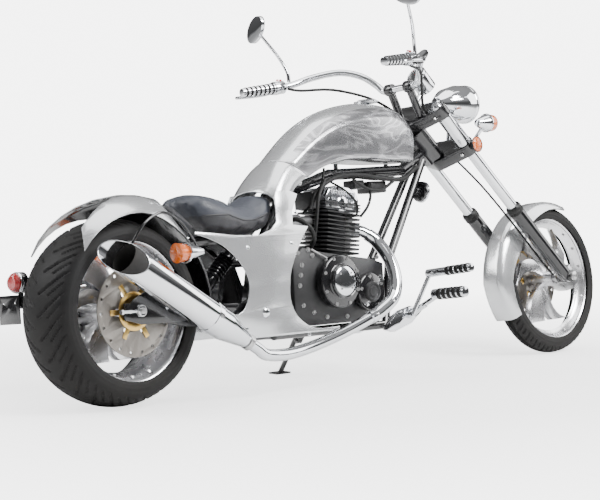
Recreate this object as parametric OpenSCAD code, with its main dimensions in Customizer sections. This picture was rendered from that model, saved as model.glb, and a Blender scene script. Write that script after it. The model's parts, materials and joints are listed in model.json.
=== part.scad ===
// Chopper motorcycle, parked on its side stand.
// X points forward, Y to the rider's left and Z up. Pieces are drawn on an
// upright bike whose rear axle is over the origin, then leaned as one.

/* [Stance] */
// Lean to the left on the side stand, degrees
lean = 6.1; // [4:0.1:8]
// Steering turned to the left of straight ahead, degrees
steer = 3; // [0:0.5:6]
// Steering axis from the vertical, degrees
rake = 46; // [38:1:56]
// Height of the middle of the steering head
head_z = 833; // [800:1:1000]
// Steering head ahead of the rear axle
head_x = 1547; // [1540:1:1860]
// Fork legs ahead of the steering axis
fork_offset = 53; // [45:1:64]

/* [Wheels] */
// Rear tyre radius
rear_r = 300; // [290:1:320]
// Rear tyre width
rear_w = 232; // [190:1:232]
// Rear rim lip radius
rear_lip = 230; // [190:1:236]
// Front tyre radius
front_r = 291; // [285:1:330]
// Front tyre width
front_w = 94; // [78:1:112]
// Front rim lip radius
front_lip = 243; // [200:1:248]
// Rear brake disc radius
rear_disc_r = 145; // [120:1:160]
// Front brake disc radius
front_disc_r = 145; // [120:1:160]
// Axle radius
axle_r = 10; // [8:0.5:12]
// Running clearance of each hub on its axle
hub_gap = 0.05; // [0.02:0.01:0.1]

/* [Chassis] */
// Rear axle to swingarm pivot
swingarm_len = 520; // [500:1:620]
// Radius of the main frame tubes
tube_r = 15; // [12:0.5:18]
// Thickness of each swingarm arm
arm_t = 16; // [12:1:18]
// Body panel thickness
skin = 4; // [3:0.5:5]
// Widest half width of the tank
tank_half = 118; // [100:1:135]
// Half width of the seat
seat_half = 138; // [120:1:150]
// Muffler outer radius
muffler_r = 52; // [44:1:60]
// Muffler wall
muffler_wall = 2.5; // [1.5:0.5:4]
// Exhaust pipe radius
pipe_r = 20; // [16:0.5:24]

/* [Front end] */
// Fork legs from the centre plane
leg_y = 107; // [95:1:125]
// Radius of the fork tubes
leg_r = 20.5; // [18:0.5:24]
// Radius of the black sliders
slider_r = 28; // [25:0.5:32]
// Length of each slider
slider_len = 400; // [340:1:440]
// Handlebar radius
bar_r = 12.7; // [11:0.1:14]
// Headlight radius
lamp_r = 72; // [60:1:85]

/* [Side stand] */
// Radius of the stand leg
stand_r = 9; // [7:0.5:12]
// Running clearance round the stand pivot
stand_gap = 0.08; // [0.03:0.01:0.1]

/* [Hidden] */
$fn = 48;

// Tyre crown: a wide arc over the tread and a tight one round each shoulder
crown_deg = 26;
rear_crown = 210;
front_crown = 58;
tyre_wall = 12;
// Axle heights put both leaned tyres on the ground
rear_z = rear_r - rear_crown + rear_crown / cos(lean);
front_tilt = asin(cos(steer) * sin(lean) + sin(steer) * sin(rake) * cos(lean));
front_z = ((front_r - front_crown) * cos(front_tilt) + front_crown
  + fork_offset * sin(steer) * sin(lean)) / cos(lean);
// Chassis stations are taken on a bike with a 520 mm swingarm and 301.2 mm axle height
shift_x = swingarm_len - 520;
shift_z = rear_z - 301.2;
pivot_z = 262;
// Steering axis length from the head to the axle
fork_len = (head_z + fork_offset * cos(steer) * sin(rake) - front_z) / cos(rake);
// Steering head tube and clamps
head_len = 135;
stem_r = 24;
clamp_t = 46;
lower_clamp_s = -head_len / 2 - 54;
upper_clamp_s = head_len / 2 + 4;
tube_top_s = upper_clamp_s + clamp_t + 4;
// Middle of the whole bike's plan, which the origin stands under
mid_x = 1087;
mid_y = 121;

// ---- helpers ----
function unit(v) = v / norm(v);
// Catmull-Rom curve through a list of points, n steps a span
function bend(p, n) = [for (i = [0:len(p) - 2], k = [0:n - 1])
    let (a = p[max(i - 1, 0)], b = p[i], c = p[i + 1], d = p[min(i + 2, len(p) - 1)], t = k / n)
    0.5 * (2 * b + (c - a) * t + (2 * a - 5 * b + 4 * c - d) * t * t
      + (3 * b - a - 3 * c + d) * t * t * t), p[len(p) - 1]];
function tangents(p) = [for (i = [0:len(p) - 1])
    unit(p[min(i + 1, len(p) - 1)] - p[max(i - 1, 0)])];
// Side vector carried along a path without twist
function carried(t, side, i = 0) = i == len(t) ? []
  : let (s = unit(side - (side * t[i]) * t[i])) concat([s], carried(t, s, i + 1));

// Closed solid through rings of points; each ring turns left about the way along.
// A sheet's ring runs along its outside and back along its inside.
module skinned(rings, sheet = false) {
  n = len(rings[0]);
  m = len(rings);
  cap = sheet ? [for (j = [0:n / 2 - 2]) [j, j + 1, n - 2 - j, n - 1 - j]] : [[for (j = [0:n - 1]) j]];
  polyhedron(
    points = [for (r = rings, q = r) q],
    faces = concat(
      cap,
      [for (i = [0:m - 2], j = [0:n - 1], k = [0, 1])
        let (a = i * n + j, b = i * n + (j + 1) % n, c = a + n, d = b + n)
        k == 0 ? [a, c, d] : [a, d, b]],
      [for (f = cap) [for (j = [len(f) - 1:-1:0]) (m - 1) * n + f[j]]]),
    convexity = 8);
}

// Round pipe of radius r swept along a path of points
module pipe(path, r, sides = 16, side = [0, 1, 0]) {
  t = tangents(path);
  s = carried(t, side);
  skinned([for (i = [0:len(path) - 1])
    let (u = cross(t[i], s[i]), rr = is_list(r) ? r[0] + (r[1] - r[0]) * i / (len(path) - 1) : r)
    [for (a = [0:sides - 1]) path[i] + rr * (cos(a * 360 / sides) * s[i]
      + sin(a * 360 / sides) * u)]]);
}

// Straight rod between two points
module rod(p, q, r) {
  d = q - p;
  translate(p) rotate([0, acos(d.z / norm(d)), atan2(d.y, d.x)]) cylinder(h = norm(d), r = r);
}

// Outline in the side plane given as [x, z], thick from y0 to y1
module side_plate(outline, y0, y1) {
  translate([0, y1, 0]) rotate([90, 0, 0]) linear_extrude(y1 - y0) polygon(outline);
}

module mirrored() {
  children();
  mirror([0, 1, 0]) children();
}

// Whole bike leaned on its tyres and centred over the origin
module stand_up() {
  translate([-mid_x, -mid_y, 0]) rotate([-lean, 0, 0]) children();
}
module chassis() { stand_up() translate([shift_x, 0, shift_z]) children(); }
module rear_hub() { stand_up() translate([0, 0, rear_z]) children(); }
module fork() {
  stand_up() translate([head_x, 0, head_z]) rotate([0, -rake, 0]) rotate([0, 0, steer]) children();
}
module front_hub() { fork() translate([fork_offset, 0, -fork_len]) rotate([0, rake, 0]) children(); }
// A point taken level with the ground at a 46 degree rake, in the fork's own axes
function on_fork(p) = let (dx = p.x - 1547, dz = p.z - 833)
  [dx * cos(46) + dz * sin(46), p.y, dz * cos(46) - dx * sin(46)];

// ---- wheels ----
// Half width, shoulder radius and shoulder centre of a tyre section
function shoulder_r(w, c) = (w / 2 - c * sin(crown_deg)) / (1 - sin(crown_deg));
function tyre_edge(r, w, c, inset, last) = let (s = shoulder_r(w, c),
    cy = w / 2 - s, cr = r - c + (c - s) * cos(crown_deg))
  concat([for (k = [0:4]) let (a = crown_deg * k / 4) [r - c + (c - inset) * cos(a), (c - inset) * sin(a)]],
    [for (k = [1:5]) let (a = crown_deg + (last - crown_deg) * k / 5)
      [cr + (s - inset) * cos(a), cy + (s - inset) * sin(a)]]);

module tyre(r, w, c, lip, rim_w) {
  seat = lip - 14;
  outer = tyre_edge(r, w, c, 0, 105);
  inner = tyre_edge(r, w, c, tyre_wall, 75);
  half = concat([[seat + 0.2, 0], [seat + 0.2, rim_w / 2 - 6.2], [lip + 2, rim_w / 2 - 6.2],
    [lip + 2, rim_w / 2 + 3]],
    [for (i = [len(outer) - 1:-1:0]) outer[i]]);
  cavity = concat([[seat - 1, -1], [seat - 1, rim_w / 2 - 6 - tyre_wall],
    [lip + 10, rim_w / 2 - 6 - tyre_wall]],
    [for (i = [len(inner) - 1:-1:0]) inner[i]], [[r - tyre_wall, -1]]);
  rotate([90, 0, 0]) mirror_z() rotate_extrude() difference() {
    polygon(half);
    polygon(cavity);
  }
}
module mirror_z() {
  children();
  mirror([0, 0, 1]) children();
}

module rim(lip, rim_w, hub_r, hub_w, spoke_t) {
  seat = lip - 14;
  rotate([90, 0, 0]) {
    difference() {
      union() {
        mirror_z() rotate_extrude() polygon([[seat - 26, 0], [seat - 12, rim_w / 2 - 26],
          [lip - 10, rim_w / 2 - 3], [lip - 4, rim_w / 2], [lip, rim_w / 2], [lip, rim_w / 2 - 6],
          [seat, rim_w / 2 - 6], [seat, rim_w / 2 - 20], [seat - 14, rim_w / 2 - 36], [seat - 20, 0]]);
        cylinder(h = hub_w, r = hub_r, center = true);
        for (k = [0:2]) rotate([0, 0, 120 * k]) linear_extrude(spoke_t, center = true)
          difference() {
            blade(hub_r - 4, seat - 22);
            blade_slot(hub_r + 26, seat - 44);
          }
      }
      cylinder(h = hub_w + 2, r = axle_r + hub_gap, center = true);
    }
  }
}
// Wide spoke swept backwards as it goes out
function swept(r, r0, r1, a0, a1) = let (t = (r - r0) / (r1 - r0), a = a0 + (a1 - a0) * t * t)
  [r * cos(a), r * sin(a)];
module blade(r0, r1) {
  steps = 8;
  polygon(concat(
    [for (k = [0:steps]) swept(r0 + (r1 - r0) * k / steps, r0, r1, -34, -6)],
    [for (k = [steps:-1:0]) swept(r0 + (r1 - r0) * k / steps, r0, r1, 34, 70)]));
}
module blade_slot(r0, r1) {
  steps = 8;
  polygon(concat(
    [for (k = [0:steps]) swept(r0 + (r1 - r0) * k / steps, r0, r1, 8, 20)],
    [for (k = [steps:-1:0]) swept(r0 + (r1 - r0) * k / steps, r0, r1, 8, 46)]));
}

module disc(r, hole_r, t) {
  rotate([90, 0, 0]) difference() {
    cylinder(h = t, r = r, center = true);
    cylinder(h = t + 2, r = hole_r, center = true);
    for (k = [0:5]) rotate([0, 0, 60 * k]) translate([hole_r + (r - hole_r) * 0.3, 0, 0])
      cylinder(h = t + 2, r = 13, center = true);
    for (k = [0:17]) rotate([0, 0, 20 * k]) translate([r - 14, 0, 0])
      cylinder(h = t + 2, r = 5, center = true);
  }
}

rear_rim_w = 192;
front_rim_w = 66;
disc_t = 5;
hub_half_rear = 106;
hub_half_front = 58;
lug_half = slider_r + 4;
chain_y = 132;
chain_w = 10;
sprocket_r = 92;
engine_sprocket_r = 34;
right_arm_y = -134;
left_arm_y = 146;

module rear_rim() {
  color("silver") rear_hub() {
    rim(rear_lip, rear_rim_w, 40, 2 * hub_half_rear, 34);
    translate([0, hub_half_rear, 0]) rotate([-90, 0, 0]) difference() {
      cylinder(h = chain_y - hub_half_rear - 4, r = 40);
      translate([0, 0, -1]) cylinder(h = 40, r = axle_r + hub_gap);
    }
  }
}
module rear_tyre() {
  color("dimgray") rear_hub() tyre(rear_r, rear_w, rear_crown, rear_lip, rear_rim_w);
}
module rear_disc() {
  color("lightgray") rear_hub() translate([0, -hub_half_rear - disc_t / 2, 0]) disc(rear_disc_r, 32, disc_t);
}
module rear_sprocket() {
  color("gray") rear_hub() translate([0, chain_y, 0]) disc(sprocket_r, 30, 8);
}
module front_rim() {
  color("silver") front_hub() rim(front_lip, front_rim_w, 30, 2 * hub_half_front, 26);
}
module front_tyre() {
  color("dimgray") front_hub() tyre(front_r, front_w, front_crown, front_lip, front_rim_w);
}
module front_disc() {
  color("lightgray") front_hub() translate([0, hub_half_front + disc_t / 2, 0])
    disc(front_disc_r, 24, disc_t);
}

// ---- rear end ----
module rear_axle() {
  color("silver") rear_hub() rotate([90, 0, 0]) {
    translate([0, 0, -left_arm_y - arm_t / 2 - 20])
      cylinder(h = left_arm_y - right_arm_y + arm_t + 40, r = axle_r);
    translate([0, 0, -right_arm_y + arm_t / 2]) cylinder(h = 12, r = 19);
    translate([0, 0, -left_arm_y - arm_t / 2 - 12]) cylinder(h = 12, r = 19);
    // Spacers between the hub and the arms
    translate([0, 0, hub_half_rear + 0.3]) tube(-right_arm_y - arm_t / 2 - hub_half_rear - 0.3, 16);
    translate([0, 0, -left_arm_y + arm_t / 2]) tube(left_arm_y - arm_t / 2 - chain_y + 3.7, 16);
  }
}
module tube(h, r) {
  cylinder(h = h, r = r);
}

module arm(y) {
  difference() {
    union() {
      side_plate([[-52, rear_z - 30], [-52, rear_z + 26], [30, rear_z + 30], [190, rear_z + 4],
        [swingarm_len + 20, pivot_z + shift_z + 34], [swingarm_len + 34, pivot_z + shift_z],
        [swingarm_len + 10, pivot_z + shift_z - 34], [190, rear_z - 62], [40, rear_z - 32]],
        y - arm_t / 2, y + arm_t / 2);
    }
    translate([0, y, rear_z]) rotate([90, 0, 0]) cylinder(h = 40, r = axle_r, center = true);
    translate([swingarm_len, y, pivot_z + shift_z]) rotate([90, 0, 0])
      cylinder(h = 40, r = 12, center = true);
    side_plate([[120, rear_z - 22], [190, rear_z - 26], [swingarm_len - 90, pivot_z + shift_z + 6],
      [swingarm_len - 90, pivot_z + shift_z - 10], [200, rear_z - 42]], y - 20, y + 20);
  }
}
module swingarm() {
  // The front cross member just carries the foot of the mudguard
  bridge_x = sqrt(pow(rear_r + 26 + 20.4, 2) - pow(rear_z - pivot_z - shift_z - 2, 2));
  color("black") stand_up() union() {
    arm(right_arm_y);
    arm(left_arm_y);
    // Cross members ahead of the tyre
    for (x = [bridge_x, swingarm_len - 60])
      translate([x, (left_arm_y + right_arm_y) / 2, pivot_z + shift_z + 2]) rotate([90, 0, 0])
        cylinder(h = left_arm_y - right_arm_y, r = 20, center = true);
    // Shock mount lug
    side_plate([[bridge_x - 16, pivot_z + shift_z + 10], [bridge_x + 30, pivot_z + shift_z + 10],
      [bridge_x + 22, pivot_z + shift_z + 70], [bridge_x - 2, pivot_z + shift_z + 70]], -34, -24);
    side_plate([[bridge_x - 16, pivot_z + shift_z + 10], [bridge_x + 30, pivot_z + shift_z + 10],
      [bridge_x + 22, pivot_z + shift_z + 70], [bridge_x - 2, pivot_z + shift_z + 70]], 24, 34);
  }
}

shock_low = [rear_r + 52, 0, pivot_z + 52];
shock_top = [560, 0, 500];
module rear_shock() {
  color("black") stand_up() {
    low = [shock_low.x, 0, shock_low.z + shift_z];
    top = shock_top + [shift_x, 0, shift_z];
    d = unit(top - low);
    translate(low) rotate([90, 0, 0]) cylinder(h = 47, r = 14, center = true);
    translate(top) rotate([90, 0, 0]) cylinder(h = 47, r = 14, center = true);
    rod(low, top, 9);
    rod(low + d * 30, low + d * 110, 24);
    rod(low + d * 60, top - d * 24, 19);
    for (k = [0:6]) rod(low + d * (112 + 14 * k), low + d * (119 + 14 * k), 30);
  }
}

// Rear mudguard: crown radius, edge radius and half width at an angle round the axle
function fender_crown(a) = rear_r + (a < 30 ? 26 : a < 62 ? 26 + (a - 30) * 2.45
  : a < 80 ? 104 - (a - 62) * 1.4 : 79 - (a - 80) * 0.95);
function fender_edge(a) = rear_r + (a < 30 ? 20 : a < 75 ? 20 - (a - 30) * 0.1 : 16 - (a - 75) * 0.62);
function fender_half(a) = rear_w / 2 + 9 + (a < 60 ? 0 : min(14, (a - 60) * 0.4));
// Line across it, moved inwards by o, over the share s of its width
function fender_ring(a, o, s = 1) = [for (k = [-6:6])
  let (t = s * k / 6, c = fender_crown(a), e = fender_edge(a),
    r = e + (c - e) * pow(max(0, 1 - pow(abs(t), 2.2)), 0.8) - o)
  [r * cos(a), t * (fender_half(a) - o), r * sin(a)]];
// Sheet between two such lines at one angle
function fender_sheet(a, outer, inner, s = 1) = let (below = fender_ring(a, inner, s))
  concat(fender_ring(a, outer, s), [for (i = [12:-1:0]) below[i]]);
module rear_fender() {
  step = 9;
  color("silver") rear_hub() difference() {
    skinned([for (a = [-8:step:145]) fender_sheet(a, 0, skin)], sheet = true);
    // Swallowtail between the two horns
    translate([-260, 0, 100]) linear_extrude(400) polygon([[0, -rear_w], [-200, -rear_w], [-200, rear_w],
      [0, rear_w], [90, 96], [230, 60], [300, 26], [312, 0], [300, -26], [230, -60], [90, -96]]);
  }
}

bracket_t = 3;
lamp_c = [-205, 180, 116];
module plate_bracket() {
  outer = left_arm_y + arm_t / 2 + 7.3;
  color("black") rear_hub() {
    // Arm along the left swingarm end, post up to the lamp and the plate carrier
    rod([-44, outer, 8], [-238, 180, 44], 7);
    rod([-216, 180, 42], lamp_c + [-11, 0, -20], 9);
    difference() {
      translate([-265, 125, -14]) cube([bracket_t, 110, 92]);
      for (y = [150, 210]) translate([-270, y, 52]) rotate([0, 90, 0]) cylinder(h = 12, r = 3.25);
    }
    rod([-264, 180, 30], [-236, 180, 40], 8);
    translate(lamp_c) rotate([0, -90, 0]) cylinder(h = 20, r = 34);
  }
}
module tail_lamp() {
  color("red") rear_hub() translate(lamp_c - [20.3, 0, 0]) rotate([0, -90, 0]) {
    cylinder(h = 14, r = 32);
    translate([0, 0, 14]) cylinder(h = 12, r1 = 32, r2 = 22);
  }
}
module rear_signals() {
  color("orange") rear_hub() mirrored() translate([150, 205, 172]) {
    rotate([0, -90, 0]) translate([0, 0, -6]) cylinder(h = 44, r1 = 26, r2 = 32);
    rotate([0, 90, 0]) cylinder(h = 70, r1 = 28, r2 = 12);
    rod([60, 0, 0], [114, -204.6 + rear_w / 2 + 12.2, 16], 6);
  }
}

// ---- frame and engine ----
module frame() {
  spine = [[1540, 0, 806], [1400, 0, 733], [1022, 0, 722], [830, 0, 672], [745, 0, 650]];
  backbone_r = tube_r + 5;
  color("black") {
    chassis() {
      mirrored() {
        // Down tubes, lower rails and rear uprights of one side
        rod([1490, 26, 765], [1253, 44, 415], tube_r);
        rod([1253, 44, 415], [1190, 62, 178], tube_r);
        rod([1190, 62, 178], [640, 62, 178], tube_r);
        rod([640, 62, 178], [560, 62, 430], tube_r);
        rod([560, 62, 430], [745, 34, 655], tube_r);
        rod([560, 62, 430], [420, 62, 515], tube_r);
        for (p = [[1253, 44, 415], [1190, 62, 178], [640, 62, 178], [560, 62, 430]])
          translate(p) sphere(tube_r + 1);
      }
      // Backbone under the tank, with a peg under each tank mount
      for (i = [0:3]) rod(spine[i], spine[i + 1], backbone_r);
      for (i = [1:3]) translate(spine[i]) sphere(backbone_r + 1);
      for (p = [[1060, 730, 761.2], [1320, 736, 756.4]])
        translate([p[0], 0, p[1]]) cylinder(h = p[2] - p[1], r = 8);
      for (x = [1190, 640, 900]) translate([x, 0, 178]) rotate([90, 0, 0])
        cylinder(h = 124, r = tube_r - 3, center = true);
      translate([560, 0, 430]) rotate([90, 0, 0]) cylinder(h = 124, r = tube_r - 2, center = true);
      // Seat carrier
      translate([420, 0, 528 - tube_r]) rotate([90, 0, 0]) cylinder(h = 150, r = tube_r + 2, center = true);
      translate(spine[4]) rotate([90, 0, 0]) cylinder(h = 90, r = backbone_r + 2, center = true);
      // Swingarm pivot
      translate([520, 0, pivot_z]) rotate([90, 0, 0])
        cylinder(h = 2 * (panel_line[1][0] - skin) - 1, r = 12, center = true);
      mirrored() side_plate([[500, 240], [540, 240], [650, 190], [660, 240], [590, 420], [545, 420]], 50, 74);
    }
    // Steering head tube
    stand_up() translate([head_x, 0, head_z]) rotate([0, -rake, 0]) difference() {
      union() {
        cylinder(h = head_len, r = stem_r + 8, center = true);
        translate([-60, -20, -head_len / 2 + 6]) cube([50, 40, head_len - 12]);
      }
      cylinder(h = head_len + 2, r = 15.05, center = true);
    }
    stand_boss();
  }
}

module crankcase() {
  // The top face follows the foot of the tilted cylinder
  function foot_z(x) = 424 + 8.2 / cos(cyl_tilt) - (x - cyl_x) * tan(cyl_tilt);
  color("black") chassis() side_plate([[713, 226], [796, 200], [1130, 200], [1158, 232], [1160, 398],
    [1110, foot_z(1110)], [860, foot_z(860)], [770, 470], [716, 430]], -100, 100);
}
module engine_covers() {
  color("silver") chassis() {
    translate([907, -100.3, 345]) rotate([90, 0, 0]) {
      cylinder(h = 40, r = 92);
      cylinder(h = 58, r = 56);
    }
    translate([1060, -100.3, 300]) rotate([90, 0, 0]) cylinder(h = 34, r = 66);
    translate([1010, 100.3, 315]) rotate([-90, 0, 0]) cylinder(h = 45, r = 88);
    translate([790, 100.3, 300]) rotate([-90, 0, 0]) cylinder(h = chain_y - chain_w / 2 - 102, r = 62);
  }
}
cyl_x = 985;
cyl_tilt = 8;
module on_cylinder() {
  chassis() translate([cyl_x, 0, 424]) rotate([0, cyl_tilt, 0]) children();
}
module cylinder_fins() {
  for (k = [0:9]) translate([0, 0, 22 + 15 * k]) linear_extrude(5)
    polygon([[-95, -60], [-80, -78], [80, -78], [95, -60], [95, 60], [80, 78], [-80, 78], [-95, 60]]);
}
module cylinder_barrel() {
  color("black") on_cylinder() {
    translate([0, 0, 8.5]) cylinder(h = 160, r = 62);
    cylinder_fins();
  }
}
module head_cover() {
  color("silver") on_cylinder() {
    translate([-82, -66, 168.5]) cube([164, 132, 46]);
    translate([0, 66, 214.5]) rotate([90, 0, 0]) linear_extrude(132)
      polygon([[-82, 0], [-66, 26], [-30, 40], [30, 40], [66, 26], [82, 0]]);
  }
}
module carburettor() {
  color("silver") chassis() {
    translate([906.3, 0, 560]) rotate([0, -90, 0]) cylinder(h = 61.5, r = 20);
    translate([850, 0, 560]) rotate([0, -90, 0]) cylinder(h = 60, r = 28);
    translate([798, -40, 500]) cube([46, 80, 46]);
    translate([794, 0, 560]) rotate([0, -90, 0]) cylinder(h = 56, r = 44);
  }
}
module exhaust_header() {
  d = unit(muffler_q - muffler_p);
  path = bend([[1099.4, -23.6, 523.3], [1140, -36, 512], [1174, -66, 474], [1181, -112, 412],
    [1168, -148, 340], [1135, -162, 275], [1054, -168, 229], [924, -170, 186], [799, -172, 153],
    [677, -178, 129], [570, -190, 118], muffler_p - 80 * d, muffler_p - 35 * d, muffler_p + 5 * d], 4);
  color("silver") chassis() pipe(path, pipe_r, 16);
}
muffler_p = [404, -200, 165.5];
muffler_q = [-98, -200, 470];
// Slope of the slash-cut mouth, which faces outwards
mouth_deg = 52;
module muffler() {
  d = muffler_q - muffler_p;
  len = norm(d);
  color("silver") {
    stand_up() translate(muffler_p + [0, 0, shift_z]) rotate([0, -90 + atan2(d.z, -d.x), 0]) difference() {
      union() {
        cylinder(h = 26, r = pipe_r + 4);
        translate([0, 0, 26]) cylinder(h = 110, r1 = pipe_r + 6, r2 = muffler_r);
        translate([0, 0, 136]) cylinder(h = len - 136 + muffler_r * tan(mouth_deg) + 8, r = muffler_r);
      }
      translate([0, 0, -1]) cylinder(h = 12, r = pipe_r + 0.3);
      translate([0, 0, 300]) cylinder(h = len, r = muffler_r - muffler_wall);
      translate([0, 0, len]) rotate([mouth_deg, 0, 0]) translate([-200, -200, 0]) cube(400);
    }
  }
}

// ---- tank and body ----
// Ring round a loaf-shaped section between a low and a top point, given one side's outline
function loaf(f, low, top, half) = let (up = top - low, n = len(f))
  concat([for (q = f) [low.x + up.x * q.y, half * q.x, low.y + up.y * q.y]],
    [for (i = [n - 2:-1:0]) [low.x + up.x * f[i].y, -half * f[i].x, low.y + up.y * f[i].y]]);
tank_side = [[0.8, 0], [0.95, 0.1], [1, 0.34], [0.98, 0.6], [0.9, 0.77], [0.75, 0.88], [0.5, 0.955],
  [0.24, 0.99], [0, 1]];
seat_side = [[0.84, 0], [0.95, 0.08], [1, 0.35], [0.97, 0.62], [0.84, 0.84], [0.58, 0.95],
  [0.28, 0.985], [0, 0.99]];
module fuel_tank() {
  low = bend([[845, 708], [921, 742], [1022, 762], [1124, 762], [1230, 757], [1320, 757], [1388, 757]], 3);
  top = bend([[728, 775], [870, 887], [1003, 950], [1158, 978], [1300, 967], [1368, 940], [1400, 905]], 3);
  half = bend([[92, 0], [104, 0], [114, 0], [118, 0], [112, 0], [98, 0], [80, 0]], 3);
  color("silver") chassis() skinned([for (i = [0:len(low) - 1])
    loaf(tank_side, low[i], top[i], half[i][0] * tank_half / 118)]);
}
module fuel_cap() {
  color("silver") chassis() translate([1240, 0, 977.8]) {
    cylinder(h = 8, r = 44);
    translate([0, 0, 8]) cylinder(h = 8, r1 = 44, r2 = 30);
  }
}
// Open channel of skin thickness over the same section, from one lower edge to the other
function channel(low, top, half) = let (
    outer = loaf(tank_side, low, top, half),
    inner = loaf(tank_side, low, top - skin * unit(top - low), half - skin), n = len(outer) - 1)
  concat([for (i = [1:n - 1]) outer[i]], [for (i = [n - 1:-1:1]) inner[i]]);
module body_neck() {
  low = bend([[700, 535], [713, 599], [747, 649], [790, 682], [843, 706]], 3);
  top = bend([[626, 672], [652, 702], [676, 728], [702, 754], [725, 773]], 3);
  half = bend([[118, 0], [112, 0], [104, 0], [97, 0], [91.5, 0]], 3);
  color("silver") chassis() {
    skinned([for (i = [0:len(low) - 1]) channel(low[i], top[i], half[i][0])], sheet = true);
    // Stay resting on the end of the backbone
    translate([790, 0, 690.6]) rotate([90, 0, 0]) cylinder(h = 180, r = 8, center = true);
  }
}
// Half width of the side panels at each height
panel_line = [[160, 180], [162, 260], [162, 350], [153, 440], [138, 520], [124, 600], [117, 660],
  [112, 700]];
module body_panel(side) {
  color("silver") chassis() mirror([0, side > 0 ? 0 : 1, 0]) intersection() {
    side_plate(concat(
      [[745, 652], [708, 594], [699, 548]],
      [for (p = bend([[770, 540], [730, 500], [682, 440], [650, 385], [637, 330], [641, 280], [668, 235],
        [727, 199], [788, 191]], 3)) p],
      [[861, 193], [861, 187], [752, 166], [689, 146], [574, 163], [440, 183], [381, 214]],
      [for (p = bend([[366, 262], [415, 270], [447, 316], [453, 378], [420, 440], [363, 492], [300, 519],
        [254, 532]], 3)) p],
      [[258, 540], [340, 533], [422, 523], [534, 518], [596, 535], [626, 560], [634, 600], [636, 640],
        [648, 664], [700, 668]]), 60, 200);
    translate([200, 0, 0]) rotate([90, 0, 90]) linear_extrude(800) polygon(concat(panel_line,
      [for (i = [len(panel_line) - 1:-1:0]) panel_line[i] - [skin, 0]]));
  }
}
module body_panel_right() { body_panel(-1); }
module body_panel_left() { body_panel(1); }

// Pillion strip draped over the mudguard behind the saddle
strip_from = 44;
strip_to = 58;
strip_gap = 0.95;
module seat() {
  low = bend([[345, 545], [372, 540], [430, 530], [534, 526], [585, 536], [612, 542], [640, 570]], 3);
  top = bend([[288, 658], [330, 674], [409, 650], [494, 614], [563, 624], [625, 664], [668, 670]], 3);
  half = bend([[104, 0], [126, 0], [138, 0], [132, 0], [118, 0], [110, 0], [88, 0]], 3);
  color("slategray") {
    chassis() skinned([for (i = [0:len(low) - 1])
      loaf(seat_side, low[i], top[i], half[i][0] * seat_half / 138)]);
    rear_hub() skinned([for (a = [strip_from:3.5:strip_to])
      fender_sheet(a, -strip_gap - 10 - (strip_to - a) * 1.1, -strip_gap, 0.9)], sheet = true);
  }
}

// ---- controls on the frame ----
module foot_controls() {
  color("silver") chassis() mirrored() {
    // Bracket bolted outside the lower rail, then the peg and the pedal with its own peg
    side_plate([[1158, 160], [1196, 150], [1290, 176], [1345, 215], [1300, 236], [1240, 224], [1200, 206]],
      62 + tube_r + 1.4, 100);
    rod([1318, 90, 215], [1318, 150, 240], 11);
    rod([1318, 145, 240], [1324, 190, 262], 9);
    rod([1324, 184, 272], [1330, 330, 276], 19);
    rod([1270, 90, 205], [1270, 126, 205], 12);
    rod([1270, 122, 205], [1368, 132, 345], 8);
    rod([1366, 124, 348], [1372, 330, 360], 15);
  }
}
module rear_caliper() {
  color("gray") stand_up() {
    difference() {
      translate([96, -124, rear_z + 52]) cube([62, 30, 78]);
      translate([0, -hub_half_rear - disc_t / 2, rear_z]) rotate([90, 0, 0])
        cylinder(h = disc_t + 4, r = rear_disc_r + 6, center = true);
    }
    side_plate([[30, rear_z + 30], [90, rear_z + 18], [120, rear_z + 54], [100, rear_z + 80]],
      -125.7, -118);
  }
}
// Roller chain round both sprockets as one closed loop
module drive_chain() {
  front = [790, 300 + shift_z];
  rear = [0, rear_z];
  module loop(grow) {
    hull() {
      translate(rear) circle(sprocket_r + grow);
      translate(front + [shift_x, 0]) circle(engine_sprocket_r + grow);
    }
  }
  color("dimgray") stand_up() {
    translate([0, chain_y + chain_w / 2, 0]) rotate([90, 0, 0]) linear_extrude(chain_w) difference() {
      loop(12);
      loop(5.5);
    }
    translate([front.x + shift_x, 0, front.y]) rotate([-90, 0, 0]) {
      translate([0, 0, chain_y - chain_w / 2]) cylinder(h = chain_w, r = engine_sprocket_r + 5);
      translate([0, 0, chain_y - chain_w / 2 - 1.4]) cylinder(h = 5, r = 15);
    }
  }
}

// ---- fork ----
module fork_tubes() {
  color("silver") fork() mirrored() translate([fork_offset, leg_y, 0]) translate([0, 0, -fork_len + 40])
    cylinder(h = fork_len - 40 + tube_top_s, r = leg_r);
}
module fork_sliders() {
  color("black") fork() mirrored() translate([fork_offset, leg_y, -fork_len]) difference() {
    union() {
      cylinder(h = slider_len, r = slider_r);
      rotate([90, 0, 0]) cylinder(h = 2 * lug_half, r = slider_r - 4, center = true);
    }
    translate([0, 0, 39.7]) cylinder(h = slider_len, r = leg_r);
    rotate([90, 0, 0]) cylinder(h = 3 * slider_r, r = axle_r + 0.1, center = true);
  }
}
module clamp(s, t) {
  translate([0, 0, s]) difference() {
    linear_extrude(t) difference() {
      hull() {
        circle(stem_r + 6);
        translate([fork_offset, leg_y]) circle(leg_r + 12);
        translate([fork_offset, -leg_y]) circle(leg_r + 12);
      }
      for (k = [-1, 1]) translate([fork_offset, k * leg_y]) circle(leg_r);
    }
  }
}
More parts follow.
